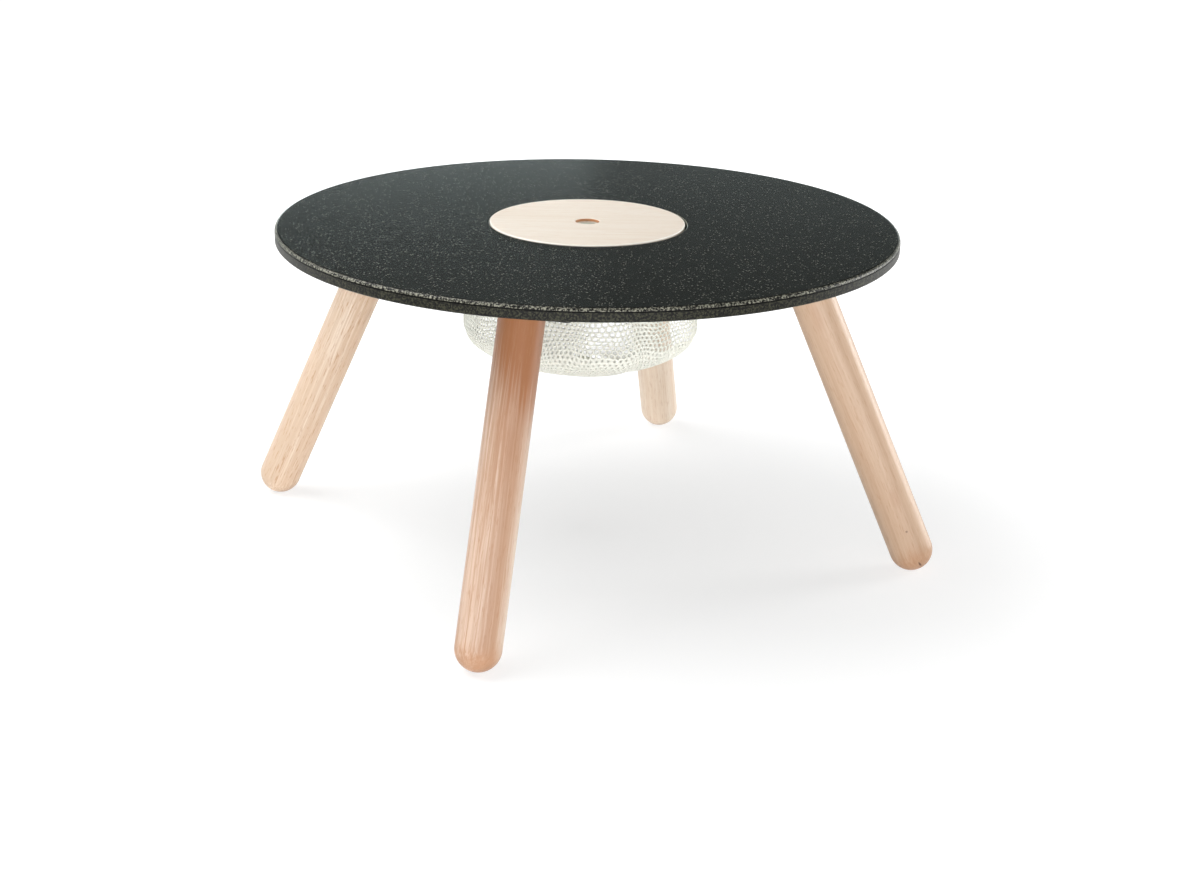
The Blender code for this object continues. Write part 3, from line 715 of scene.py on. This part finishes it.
# Its near side falls slack, and its meshes close up, from above the widest ring to below it
SLACK_HEIGHTS = (4 * MM, -3 * MM)
CLOSING_HEIGHTS = (8 * MM, -4 * MM)
CLOSING = 0.7
# How much of a mesh its hole takes up
CLOSED_HOLE_SHARE = 0.15
OPEN_HOLE_SHARE = 0.72
FAR_HOLE_SHARE = 0.9
HOLE_WOBBLE = 0.04
# What stretching does to a mesh's width and to its yarn's thickness
STRETCHED_PITCH = 1.4
STRETCHED_YARN = 0.6
# How far the meshes stray one by one, and in groups, in widths of a mesh
STRAY_ALONE = 0.1
STRAY_TOGETHER = 1.1
# The net starts this far down the wall
NET_START = 0.5 * MM
# Blender's noise vectors start from the clock without a seed
NET_SEED = 1


def stretch(theta):
    """How far the net's columns are pulled apart at an angle: nought where it hangs slack, one at most."""
    seen = front_angle(theta)
    near = sum(
        amount * exp(-((turn_between(seen, angle) / width) ** 4)) for angle, width, amount in STRETCHES
    )
    return max(min(near, 1.0), ease(abs(seen), *FAR_ANGLES))


class BagWall:
    """The middle surface of the net bag's wall: a curve of radius and height that is turned and folded."""

    def __init__(self, s):
        steps = 720
        self.columns = [0.0]
        for i in range(steps):
            pull = stretch((i + 0.5) / steps * 2 * pi)
            self.columns.append(self.columns[-1] + 1 / (1 + (STRETCHED_PITCH - 1) * pull))
        self.columns = [count / self.columns[-1] for count in self.columns]
        self.widest = BAG_RADIUS - s.yarn / 2
        self.neck_height = HOOP_LOW.z
        neck_radius = HOOP_HIGH.x - HOOP_WIDTH - NECK_GAP
        drop = s.widest_height - BAG_LOW.z - s.yarn / 2
        count = 60
        line = []
        for i in range(count):
            share = i / count
            line.append((
                neck_radius + (self.widest - neck_radius) * sin(share * pi / 2),
                self.neck_height + (s.widest_height - self.neck_height) * share,
            ))
        for i in range(count + 1):
            angle = i / count * pi / 2
            line.append((self.widest * cos(angle), s.widest_height - drop * sin(angle)))
        lengths = [0.0]
        for (r0, z0), (r1, z1) in zip(line, line[1:]):
            lengths.append(lengths[-1] + hypot(r1 - r0, z1 - z0))
        self.curve = [(length, r, z) for length, (r, z) in zip(lengths, line)]
        self.lengths = lengths
        self.length = lengths[-1]
        self.sway = s.sway

    def angle_at(self, share):
        """The angle about Z at a share of the net's columns, which lie further apart where stretched."""
        whole, part = divmod(share, 1)
        i = min(bisect_right(self.columns, part), len(self.columns) - 1) - 1
        before, after = self.columns[i], self.columns[i + 1]
        steps = len(self.columns) - 1
        return 2 * pi * (whole + (i + (part - before) / (after - before)) / steps)

    def section(self, length):
        """Radius, height and outward direction at a length down the wall."""
        length = min(max(length, 0.0), self.length - MM * 0.01)
        i = bisect_right(self.lengths, length)
        (l0, r0, z0), (l1, r1, z1) = self.curve[i - 1], self.curve[i]
        share = (length - l0) / (l1 - l0)
        run = hypot(r1 - r0, z1 - z0)
        return r0 + (r1 - r0) * share, z0 + (z1 - z0) * share, (z0 - z1) / run, (r1 - r0) / run

    def length_at_radius(self, radius):
        """The length down the wall at which its lower half has a radius."""
        for (l0, r0, _), (l1, r1, _) in zip(self.curve, self.curve[1:]):
            if r0 > radius >= r1:
                return l0 + (l1 - l0) * (r0 - radius) / (r0 - r1)
        raise ValueError("the wall has no such radius")

    def fold(self, theta, share):
        """How far the wall stands in or out, where share runs from the neck to the pole."""
        fade = sin(min(1.0, share / FOLD_START) * pi / 2) * (1 - share) ** 0.5
        seen = front_angle(theta)
        offset = sum(depth * sin(count * theta + phase) for depth, count, phase in WAVES)
        angle, width, depth = BULGE
        offset += depth * exp(-((turn_between(seen, angle) / width) ** 2)) * (1 - share)
        for angle, width, depth in CREASES:
            offset -= depth * exp(-((turn_between(seen, angle) / width) ** 2))
        return offset * fade

    def point(self, theta, length, lift):
        """A place on the wall, lifted off its middle surface."""
        r, z, out, up = self.section(length)
        share = min(1.0, max(0.0, length / self.length))
        off = lift + self.fold(theta, share)
        r, z = r + out * off, z + up * off
        sway = self.sway * min(1.0, (self.neck_height - z) / SWAY_REACH)
        side = CAMERA_TURN + pi
        return Vector((r * cos(theta) + sway * cos(side), r * sin(theta) + sway * sin(side), z))


def mesh_opening(s, theta, radius, height):
    """How open the net's meshes are at a place, as a share of the whole mesh, and how far it's stretched."""
    seen = abs(front_angle(theta))
    slack = ease(height, *[s.widest_height + rise for rise in SLACK_HEIGHTS])
    pull = stretch(theta) * (1 - slack)
    under = 0.0
    if height < s.widest_height:
        under = ease(radius, *(UNDER_RADII_FAR if seen > FAR_ANGLES[0] else UNDER_RADII_NEAR))
    far = max(ease(seen, *FAR_ANGLES), under)
    wobble = HOLE_WOBBLE * noise.noise(Vector((cos(theta), sin(theta), height * 8)) * 19)
    closing = ease(height, *[s.widest_height + rise for rise in CLOSING_HEIGHTS])
    closed = CLOSED_HOLE_SHARE * (1 - CLOSING * closing)
    share = closed + (OPEN_HOLE_SHARE - closed) * pull + wobble * (1 - slack / 2)
    share += (FAR_HOLE_SHARE - share) * far
    return share, max(pull, far)


def net_sheet(s, wall, start, end):
    """The net: six-sided meshes in staggered rows, with ridged yarns, wrapped round the wall.

    It is made flat, with holes half a mesh wide, and doubled into an outside and an inside. Both are
    then wrapped and lifted off the wall, except at the holes and borders, where they are welded.
    """
    around = 2 * pi * BAG_RADIUS
    pitch = around / s.columns
    side = pitch / sqrt(3)
    rows = 2 * int((end - start) / (3 * side))
    hole_size = 0.5
    bm = bmesh.new()
    hole_x = bm.verts.layers.float.new("hole_x")
    hole_y = bm.verts.layers.float.new("hole_y")
    bmesh.ops.create_circle(bm, cap_ends=False, radius=side, segments=6)
    hole = bmesh.ops.create_circle(bm, cap_ends=False, radius=side * hole_size, segments=6)["verts"]
    for v in hole:
        v[hole_x], v[hole_y] = v.co.x / hole_size, v.co.y / hole_size
    bmesh.ops.bridge_loops(bm, edges=bm.edges[:])
    bmesh.ops.spin(
        bm, geom=[*bm.verts, *bm.edges, *bm.faces], cent=(0, 0, 0), axis=(0, 0, 1), dvec=(pitch, 0, 0),
        angle=0, steps=s.columns - 1, use_duplicate=True,
    )
    row = bmesh.ops.duplicate(bm, geom=[*bm.verts, *bm.edges, *bm.faces])["geom"]
    copied = [v for v in row if isinstance(v, bmesh.types.BMVert)]
    bmesh.ops.translate(bm, vec=(pitch / 2, -1.5 * side, 0), verts=copied)
    bmesh.ops.spin(
        bm, geom=[*bm.verts, *bm.edges, *bm.faces], cent=(0, 0, 0), axis=(0, 0, 1),
        dvec=(0, -3 * side, 0), angle=0, steps=rows // 2 - 1, use_duplicate=True,
    )
    bmesh.ops.remove_doubles(bm, verts=bm.verts, dist=side * 0.01)
    # Corners above the first of these lines, or below the second, are on a border
    top_row = 0.4 * side
    last_row = -1.5 * side * (rows - 1) - 0.4 * side
    outside = list(bm.verts)
    copied = bmesh.ops.duplicate(bm, geom=[*bm.verts, *bm.edges, *bm.faces])["geom"]
    inside = [v for v in copied if isinstance(v, bmesh.types.BMVert)]
    bmesh.ops.reverse_faces(bm, faces=[f for f in copied if isinstance(f, bmesh.types.BMFace)])
    for verts, direction in ((outside, 1), (inside, -1)):
        for v in verts:
            dx, dy = v[hole_x], v[hole_y]
            is_hole = dx != 0 or dy != 0
            # Corners and middles lie on a lattice, and snapping to it makes the two sides of the seam meet
            x = round((v.co.x - dx * hole_size) / (pitch / 2)) * pitch / 2
            y = round((v.co.y - dy * hole_size) / (side / 2)) * side / 2
            radius, height = wall.section(start - y)[:2]
            share, pull = mesh_opening(s, wall.angle_at(x / around), radius, height)
            if is_hole:
                x += dx * share
                y += dy * share
            border = not is_hole and (v.co.y > top_row or v.co.y < last_row)
            half = s.yarn / 2 * (1 - (1 - STRETCHED_YARN) * pull)
            lift = 0 if is_hole or border else direction * half
            theta = wall.angle_at(x / around)
            # On a tube of radius one, so that the noise meets itself at the seam
            place = Vector((cos(theta), sin(theta), y * 7))
            stray = noise.noise_vector(place * 31) * STRAY_ALONE * pitch
            stray += noise.noise_vector(place * 4) * STRAY_TOGETHER * pitch
            v.co = wall.point(theta + stray.x / BAG_RADIUS, start - y + stray.y, lift)
    bmesh.ops.remove_doubles(bm, verts=bm.verts, dist=MERGE_DISTANCE)
    # Along the borders the outside and the inside have merged into one layer, which goes
    single = [f for f in bm.faces if any(e.is_boundary for e in f.edges)]
    bmesh.ops.delete(bm, geom=single, context="FACES")
    bmesh.ops.recalc_face_normals(bm, faces=bm.faces)
    return bm


class PLAYTABLE_OT_net_bag(Operator):
    """Make the knitted net bag with its hem and its gathered bottom"""

    bl_idname = "playtable.net_bag"
    bl_label = "Net bag"

    def execute(self, context):
        s = context.scene.playtable_net
        noise.seed_set(NET_SEED)
        wall = BagWall(s)
        material = knitted_cotton(s)
        gather = wall.length_at_radius(s.gather_radius)
        bm = net_sheet(s, wall, NET_START, gather)
        finish_piece(bm, "net_mesh", material, "table", ["net_bag"], sharp=pi)

        # The ribbed neck, from the hem under the board down past the hoop
        half = s.yarn / 2
        hem_outer = HOOP_HIGH.x - 2.4 * MM
        neck = wall.section(0)[0]
        hem_top = UNDERSIDE - FIT_GAP
        hem_low = HOOP_HIGH.z + FIT_GAP
        flare = 0.4 * MM
        flare_top = wall.neck_height + 1 * MM
        end = wall.neck_height - 4 * MM
        points = [
            (hem_outer, hem_low), (hem_outer, hem_top), (neck - half, hem_top), (neck - half, flare_top),
            (neck - half + flare, end), (neck + half + flare, end), (neck + half, flare_top),
            (neck + half, hem_low),
        ]
        steps = 360
        rib_depth = 0.25 * MM
        bm = turned(points, steps, closed=True)
        for v in bm.verts:
            if v.co.z < hem_low - 1 * MM:
                rib = rib_depth * cos(pi * round(atan2(v.co.y, v.co.x) / (2 * pi) * steps))
                v.co.x += rib * v.co.x / neck
                v.co.y += rib * v.co.y / neck
        finish_piece(bm, "net_neck", material, "table", ["net_bag"], sharp=pi)

        # The bottom, drawn into pleats and closed by a small knot
        pleats = 20
        pleat_depth = 1.1 * MM
        rings = 14
        overlap = 3 * MM
        closed = 5 * MM
        last = wall.length - 0.5 * MM
        outer = [
            (gather - overlap) + (last - closed - gather + overlap) * i / rings for i in range(rings + 1)
        ]
        bm = turned([(wall.section(length)[0], length) for length in outer], pleats * 8)
        bmesh.ops.recalc_face_normals(bm, faces=bm.faces)
        for v in bm.verts:
            theta = atan2(v.co.y, v.co.x)
            length = v.co.z
            depth = (length - outer[0]) / (outer[-1] - outer[0])
            lift = pleat_depth * min(1.0, depth * 3) * cos(pleats * theta)
            v.co = wall.point(theta, length, lift)
        bmesh.ops.solidify(bm, geom=bm.faces[:], thickness=1.0 * MM)
        bmesh.ops.recalc_face_normals(bm, faces=bm.faces)
        finish_piece(bm, "net_gather", material, "table", ["net_bag"], sharp=pi)
        centre = wall.point(0, last, 0)
        centre.z = BAG_LOW.z + 2.4 * MM
        flatness = 0.42
        bm = bmesh.new()
        bmesh.ops.create_uvsphere(bm, u_segments=24, v_segments=12, radius=closed + 1.5 * MM)
        for v in bm.verts:
            strand = 1 + 0.1 * cos(8 * atan2(v.co.y, v.co.x))
            v.co = Vector((v.co.x * strand, v.co.y * strand, v.co.z * flatness)) + centre
        finish_piece(bm, "net_knot", material, "table", ["net_bag"], sharp=pi)
        return {"FINISHED"}


class PLAYTABLE_OT_hoop(Operator):
    """Make the wooden hoop that clamps the net's hem"""

    bl_idname = "playtable.hoop"
    bl_label = "Bag hoop"

    def execute(self, context):
        s = context.scene.playtable_leg
        outer = HOOP_HIGH.x
        inner = outer - HOOP_WIDTH
        soft = 2 * MM
        points = [
            (inner, HOOP_HIGH.z),
            (outer, HOOP_HIGH.z),
            *arc((outer - soft, HOOP_LOW.z + soft), soft, soft, 0, -pi / 2, 5),
            (outer - soft - FLAT_MARGIN, HOOP_LOW.z),
            (inner + soft + FLAT_MARGIN, HOOP_LOW.z),
            *arc((inner + soft, HOOP_LOW.z + soft), soft, soft, -pi / 2, -pi, 5),
        ]
        bm = turned(points, 144, closed=True)
        grain = Matrix.Rotation(pi / 2, 4, "Y")
        wood = lacquered_wood(
            "lacquered rubberwood hoop", s.pale, s.deep, s.pore, grain, 4 * MM, (0.2, 0.1)
        )
        finish_piece(bm, "hem_hoop", wood, "table", ["bag_hoop"])
        return {"FINISHED"}


class PLAYTABLE_OT_legs(Operator):
    """Make the four dowel legs with their rounded feet"""

    bl_idname = "playtable.legs"
    bl_label = "Legs"

    def execute(self, context):
        s = context.scene.playtable_leg
        radius = s.diameter / 2
        seat = UNDERSIDE - s.block_depth
        centre_height = radius - FOOT_FLAT
        straight = (seat - centre_height) / cos(s.rake)
        foot = arc((0, -straight), radius, radius, 0, -pi / 2, 24)
        foot[-1] = (0, foot[-1][1])
        points = [
            (0, -FIT_GAP), (radius - s.top_arris, -FIT_GAP), (radius, -FIT_GAP - s.top_arris), *foot,
        ]
        # Across the front left leg, (-0.263, 0.965) is to the photo's right. Across the back left leg,
        # (0.965, 0.263) is to its left
        down = (0, 0, -1)
        end_grain = (s.end_grain, down, straight - 14 * MM, straight + 16 * MM, 0.65, 8 * MM)
        heart = (s.heart, (-0.3, 1.15, 1), -114 * MM, -50 * MM, 0.88, 24 * MM)
        heart_tail = (s.heart, (-0.6, 2.3, 1), -195 * MM, -110 * MM, 0.28, 30 * MM)
        rosy = (s.rosy, (-0.263, 0.965, 0.01), -8 * MM, 1 * MM, 0.6, 3 * MM)
        # Painted highlight: the front left leg's right edge is painted pale
        right_rim_highlight = (s.pale, (-0.263, 0.965, 0), 13 * MM, 25 * MM, 0.7, 3 * MM)
        # Painted shade: the back left leg is darkened toward its top, under the board
        top_shade = (s.tan, (0, 0.5, 1), -150 * MM, -10 * MM, 0.42, 60 * MM)
        streaky = (s.rosy, (-0.965, -0.263, 0), -5 * MM, 13 * MM, 0.18, 8 * MM)
        # Painted shade: the back left leg is darkened on its left side
        left_side_shade = (s.tan, (0.965, 0.263, 0), -8 * MM, 22 * MM, 0.4, 8 * MM)
        foot_split = (s.split, (8.2 * MM, -18.5 * MM, -371.6 * MM), (1.5 * MM, 5 * MM, 7 * MM), 0.9)
        pin_knot = (s.split, (8.7 * MM, -24 * MM, -326.1 * MM), (1.6 * MM, 3 * MM, 1.6 * MM), 0.6)
        blush = (s.rosy, (9.6 * MM, -23.6 * MM, -283.6 * MM), (7 * MM, 7 * MM, 15 * MM), 0.32)
        top_blush = (s.rosy, (1.8 * MM, -25.4 * MM, -47.1 * MM), (7 * MM, 7 * MM, 22 * MM), 0.32)
        looks = {
            "front_right": (
                s.even_pale, s.even_deep, 0.6, [end_grain], [foot_split, pin_knot, blush, top_blush],
            ),
            "back_right": (s.pale, s.deep, 0.5, [], []),
            "back_left": (s.pale, s.deep, 1.1, [top_shade, streaky, left_side_shade], []),
            "front_left": (
                s.warm_pale, s.warm_deep, 0.9, [rosy, right_rim_highlight, heart_tail, heart, end_grain], [],
            ),
        }
        for index, name in enumerate(LEG_NAMES):
            bm = turned(points, 96)
            bmesh.ops.transform(bm, matrix=leg_frame(s, index), verts=bm.verts)
            bmesh.ops.bisect_plane(
                bm, geom=[*bm.verts, *bm.edges, *bm.faces], plane_co=(0, 0, 0), plane_no=(0, 0, -1),
                clear_outer=True,
            )
            rim = [e for e in bm.edges if e.is_boundary]
            bmesh.ops.edgeloop_fill(bm, edges=rim)
            bmesh.ops.recalc_face_normals(bm, faces=bm.faces)
            pale, deep, contrast, patches, marks = looks[name]
            wood = lacquered_wood(
                "lacquered rubberwood leg " + name, pale, deep, s.pore, leg_frame(s, index), 3.4 * MM,
                (0.03 + 0.008 * index, 0.02 - 0.01 * index), contrast, patches, marks,
            )
            finish_piece(bm, "dowel_leg_" + name, wood, "table", ["leg_" + name])
        return {"FINISHED"}


class PLAYTABLE_OT_blocks(Operator):
    """Make the four wedge blocks, which are dyed dark to hide under the board"""

    bl_idname = "playtable.blocks"
    bl_label = "Leg blocks"

    def execute(self, context):
        s = context.scene.playtable_leg
        for index, name in enumerate(LEG_NAMES):
            bm = merged_copy("leg_block_" + name)
            grain = Matrix.Rotation(radians(-45) + index * pi / 2, 4, "Z") @ Matrix.Rotation(pi / 2, 4, "X")
            wood = lacquered_wood(
                "dyed rubberwood block " + name, s.dyed_pale, s.dyed_deep, s.dyed_deep, grain, 4 * MM,
                (0.1, 0.3 + 0.02 * index),
            )
            finish_piece(bm, "wedge_block_" + name, wood, "table", ["leg_block_" + name])
        return {"FINISHED"}


class PLAYTABLE_OT_fixings(Operator):
    """Make the pan head screws, and plate the inserts and hanger bolts"""

    bl_idname = "playtable.fixings"
    bl_label = "Fixings"

    def execute(self, context):
        s = context.scene.playtable_fixing
        steel = zinc_steel(s)
        for node in SCREW_NODES:
            low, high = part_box(node)
            head = (high.x - low.x) / 2
            shank = s.shank_diameter / 2
            rim = 0.6 * MM
            inner = 2.3 * MM
            arm_angle = radians(14)
            between_arms = 0.42
            points = [
                (0, low.z + s.recess_depth), (inner * 0.6, low.z + s.recess_depth), (inner, low.z),
                (head * 0.72, low.z), (head - rim * 0.4, low.z + rim),
                (head, low.z + s.head_height * 0.6), (head, low.z + s.head_height),
                (shank, low.z + s.head_height), (shank, high.z - 3 * shank), (0, high.z),
            ]
            bm = turned(points, 32)
            for v in bm.verts:
                if 0.1 * MM < hypot(v.co.x, v.co.y) < inner + 0.1 * MM and v.co.z < low.z + s.head_height:
                    arm = abs((atan2(v.co.y, v.co.x) + pi / 4) % (pi / 2) - pi / 4)
                    if arm > arm_angle:
                        v.co.x *= between_arms
                        v.co.y *= between_arms
            centre = Vector(((low.x + high.x) / 2, (low.y + high.y) / 2, 0))
            bmesh.ops.translate(bm, vec=centre, verts=bm.verts)
            finish_piece(bm, "pan_" + node, steel, "table", [node], sharp=radians(30))
        for name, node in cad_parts.items():
            if name.startswith(("block_insert", "hanger_bolt")):
                for slot in node.material_slots:
                    slot.material = steel
        return {"FINISHED"}


def stage_place(turn, distance, height):
    """A place round the table, by the angle from the camera's side, to the right if positive."""
    angle = CAMERA_TURN - pi / 2 + turn
    return Vector((distance * cos(angle), distance * sin(angle), height))


# Name, angle from the camera's side in degrees, distance, height, width, tallness, glow, height aimed at
LAMPS = (
    ("left panel", -98, 6.5, 1.6, 4.9, 3.2, 0.6, 0.2),
    ("right panel", 112, 6.0, 1.5, 2.3, 3.0, 12.0, 0.2),
    ("back sheet", 180, 2.6, 0.18, 3.0, 0.34, 4.3, 0.2),
    ("back left sheet", -168, 2.8, 0.52, 1.2, 0.3, 3.1, 0.4),
    ("front sheet", 2, 5.0, 0.72, 6.0, 1.4, 7.9, 0.2),
    ("high left box", -100, 1.5, 2.3, 2.3, 2.3, 4.7, 0.3),
)
TINTED_LAMP = "back left sheet"


def add_lamp(name, turn, distance, height, width, tall, glow, aim, tint):
    """A soft rectangular lamp of an even glow, where 1 is white, facing a height over the floor's middle."""
    lamp = bpy.data.lights.new(name, "AREA")
    lamp.shape = "RECTANGLE"
    lamp.size = width
    lamp.size_y = tall
    lamp.energy = glow * pi * width * tall
    lamp.color = tint
    holder = bpy.data.objects.new(name, lamp)
    holder.location = stage_place(turn, distance, height)
    holder.rotation_euler = (Vector((0, 0, aim)) - holder.location).to_track_quat("-Z", "Y").to_euler()
    bpy.context.scene.collection.objects.link(holder)


class PLAYTABLE_OT_stage(Operator):
    """Set the pale floor, the soft lamps, the world and the camera"""

    bl_idname = "playtable.stage"
    bl_label = "Stage"

    def execute(self, context):
        s = context.scene.playtable_stage
        bm = bmesh.new()
        bmesh.ops.create_grid(bm, x_segments=1, y_segments=1, size=30)
        mesh = bpy.data.meshes.new("floor")
        bm.to_mesh(mesh)
        bm.free()
        floor = bpy.data.objects.new("floor", mesh)
        context.scene.collection.objects.link(floor)
        material, tree, shader, place = new_material("white paper floor")
        tree.nodes.remove(shader)
        rays = add_node(tree, "ShaderNodeLightPath").outputs
        seen = rays["Is Camera Ray"]
        for ray in ("Is Glossy Ray", "Is Transmission Ray"):
            seen = add_node(tree, "ShaderNodeMath", {0: seen, 1: rays[ray]}, operation="MAXIMUM").outputs[0]
        away = add_node(tree, "ShaderNodeVectorMath", {0: place}, operation="LENGTH").outputs["Value"]
        # Less white is added near the middle, so the floor under the table is darker, a painted shadow
        # beside the real one
        lift = add_node(
            tree, "ShaderNodeMapRange",
            {"Value": away, "From Min": 0, "From Max": s.lit_radius, "To Min": s.floor_lift, "To Max": 1.0},
        ).outputs[0]
        lift = add_node(tree, "ShaderNodeMath", {0: seen, 1: lift}, operation="MULTIPLY").outputs[0]
        tint = add_node(
            tree, "ShaderNodeMix", {0: seen, 6: s.floor, 7: s.floor_seen}, data_type="RGBA",
        ).outputs[2]
        matt = add_node(tree, "ShaderNodeBsdfDiffuse", {"Color": tint}).outputs[0]
        glow = add_node(tree, "ShaderNodeEmission", {"Strength": lift}).outputs[0]
        both = add_node(tree, "ShaderNodeAddShader", {0: matt, 1: glow}).outputs[0]
        tree.links.new(both, tree.nodes["Material Output"].inputs["Surface"])
        mesh.materials.append(material)

        world = bpy.data.worlds.new("white room")
        world.use_nodes = True
        tree = world.node_tree
        direction = add_node(tree, "ShaderNodeTexCoord").outputs["Generated"]
        rise = add_node(tree, "ShaderNodeSeparateXYZ", {0: direction}).outputs["Z"]
        low = add_node(
            tree, "ShaderNodeMapRange",
            {"Value": rise, "From Min": 0.04, "From Max": 0.19, "To Min": s.horizon, "To Max": s.walls},
            interpolation_type="SMOOTHSTEP",
        ).outputs[0]
        facing = add_node(
            tree, "ShaderNodeVectorMath", {0: direction, 1: stage_place(0, 1, 0)}, operation="DOT_PRODUCT",
        ).outputs["Value"]
        near = add_node(
            tree, "ShaderNodeMapRange", {"Value": facing, "From Min": -0.2, "From Max": 0.5},
            interpolation_type="SMOOTHSTEP",
        ).outputs[0]
        light = add_node(tree, "ShaderNodeMix", {0: near, 2: low, 3: s.front}).outputs[0]
        rays = add_node(tree, "ShaderNodeLightPath").outputs
        strength = add_node(tree, "ShaderNodeMix", {0: rays["Is Camera Ray"], 2: light, 3: 1.0}).outputs[0]
        background = tree.nodes["Background"]
        white = add_node(
            tree, "ShaderNodeMath", {0: near, 1: rays["Is Camera Ray"]}, operation="MAXIMUM",
        ).outputs[0]
        tint = add_node(
            tree, "ShaderNodeMix", {0: white, 6: s.back_tint, 7: (1, 1, 1, 1)}, data_type="RGBA",
        ).outputs[2]
        tree.links.new(tint, background.inputs["Color"])
        tree.links.new(strength, background.inputs["Strength"])
        context.scene.world = world

        for name, turn, distance, height, width, tall, glow, aim in LAMPS:
            tint = s.back_tint[:3] if name == TINTED_LAMP else (1, 1, 1)
            add_lamp(name, radians(turn), distance, height, width, tall, glow * s.lamps, aim, tint)

        camera = bpy.data.objects.new("camera", bpy.data.cameras.new("camera"))
        camera.data.lens = CAMERA_LENS_MM
        camera.data.sensor_width = 36
        camera.matrix_world = (
            Matrix.Translation(stage_place(0, CAMERA_DISTANCE, CAMERA_HEIGHT))
            @ Matrix.Rotation(CAMERA_HEADING, 4, "Z")
            @ Matrix.Rotation(pi / 2 - CAMERA_PITCH, 4, "X")
            @ Matrix.Rotation(CAMERA_ROLL, 4, "Z")
        )
        context.scene.collection.objects.link(camera)
        context.scene.camera = camera
        context.scene.view_settings.view_transform = "Standard"
        return {"FINISHED"}


OPERATORS = (
    PLAYTABLE_OT_board,
    PLAYTABLE_OT_lid,
    PLAYTABLE_OT_net_bag,
    PLAYTABLE_OT_hoop,
    PLAYTABLE_OT_legs,
    PLAYTABLE_OT_blocks,
    PLAYTABLE_OT_fixings,
    PLAYTABLE_OT_stage,
)

SETTINGS = {
    "playtable_board": BoardSettings,
    "playtable_lid": LidSettings,
    "playtable_net": NetSettings,
    "playtable_leg": LegSettings,
    "playtable_fixing": FixingSettings,
    "playtable_stage": StageSettings,
}


class PLAYTABLE_PT_sidebar(Panel):
    """The table's pieces, in the 3D view's sidebar"""

    bl_idname = "PLAYTABLE_PT_sidebar"
    bl_label = "Play Table"
    bl_space_type = "VIEW_3D"
    bl_region_type = "UI"
    bl_category = "Play Table"

    def draw(self, context):
        for operator in OPERATORS:
            self.layout.operator(operator.bl_idname)


CLASSES = (*SETTINGS.values(), *OPERATORS, PLAYTABLE_PT_sidebar)


def register():
    for item in CLASSES:
        bpy.utils.register_class(item)
    for name, group in SETTINGS.items():
        setattr(bpy.types.Scene, name, PointerProperty(type=group))


def unregister():
    for name in SETTINGS:
        delattr(bpy.types.Scene, name)
    for item in reversed(CLASSES):
        bpy.utils.unregister_class(item)


def main():
    register()
    for operator in OPERATORS:
        group, name = operator.bl_idname.split(".")
        getattr(getattr(bpy.ops, group), name)()


if __name__ == "__main__":
    main()
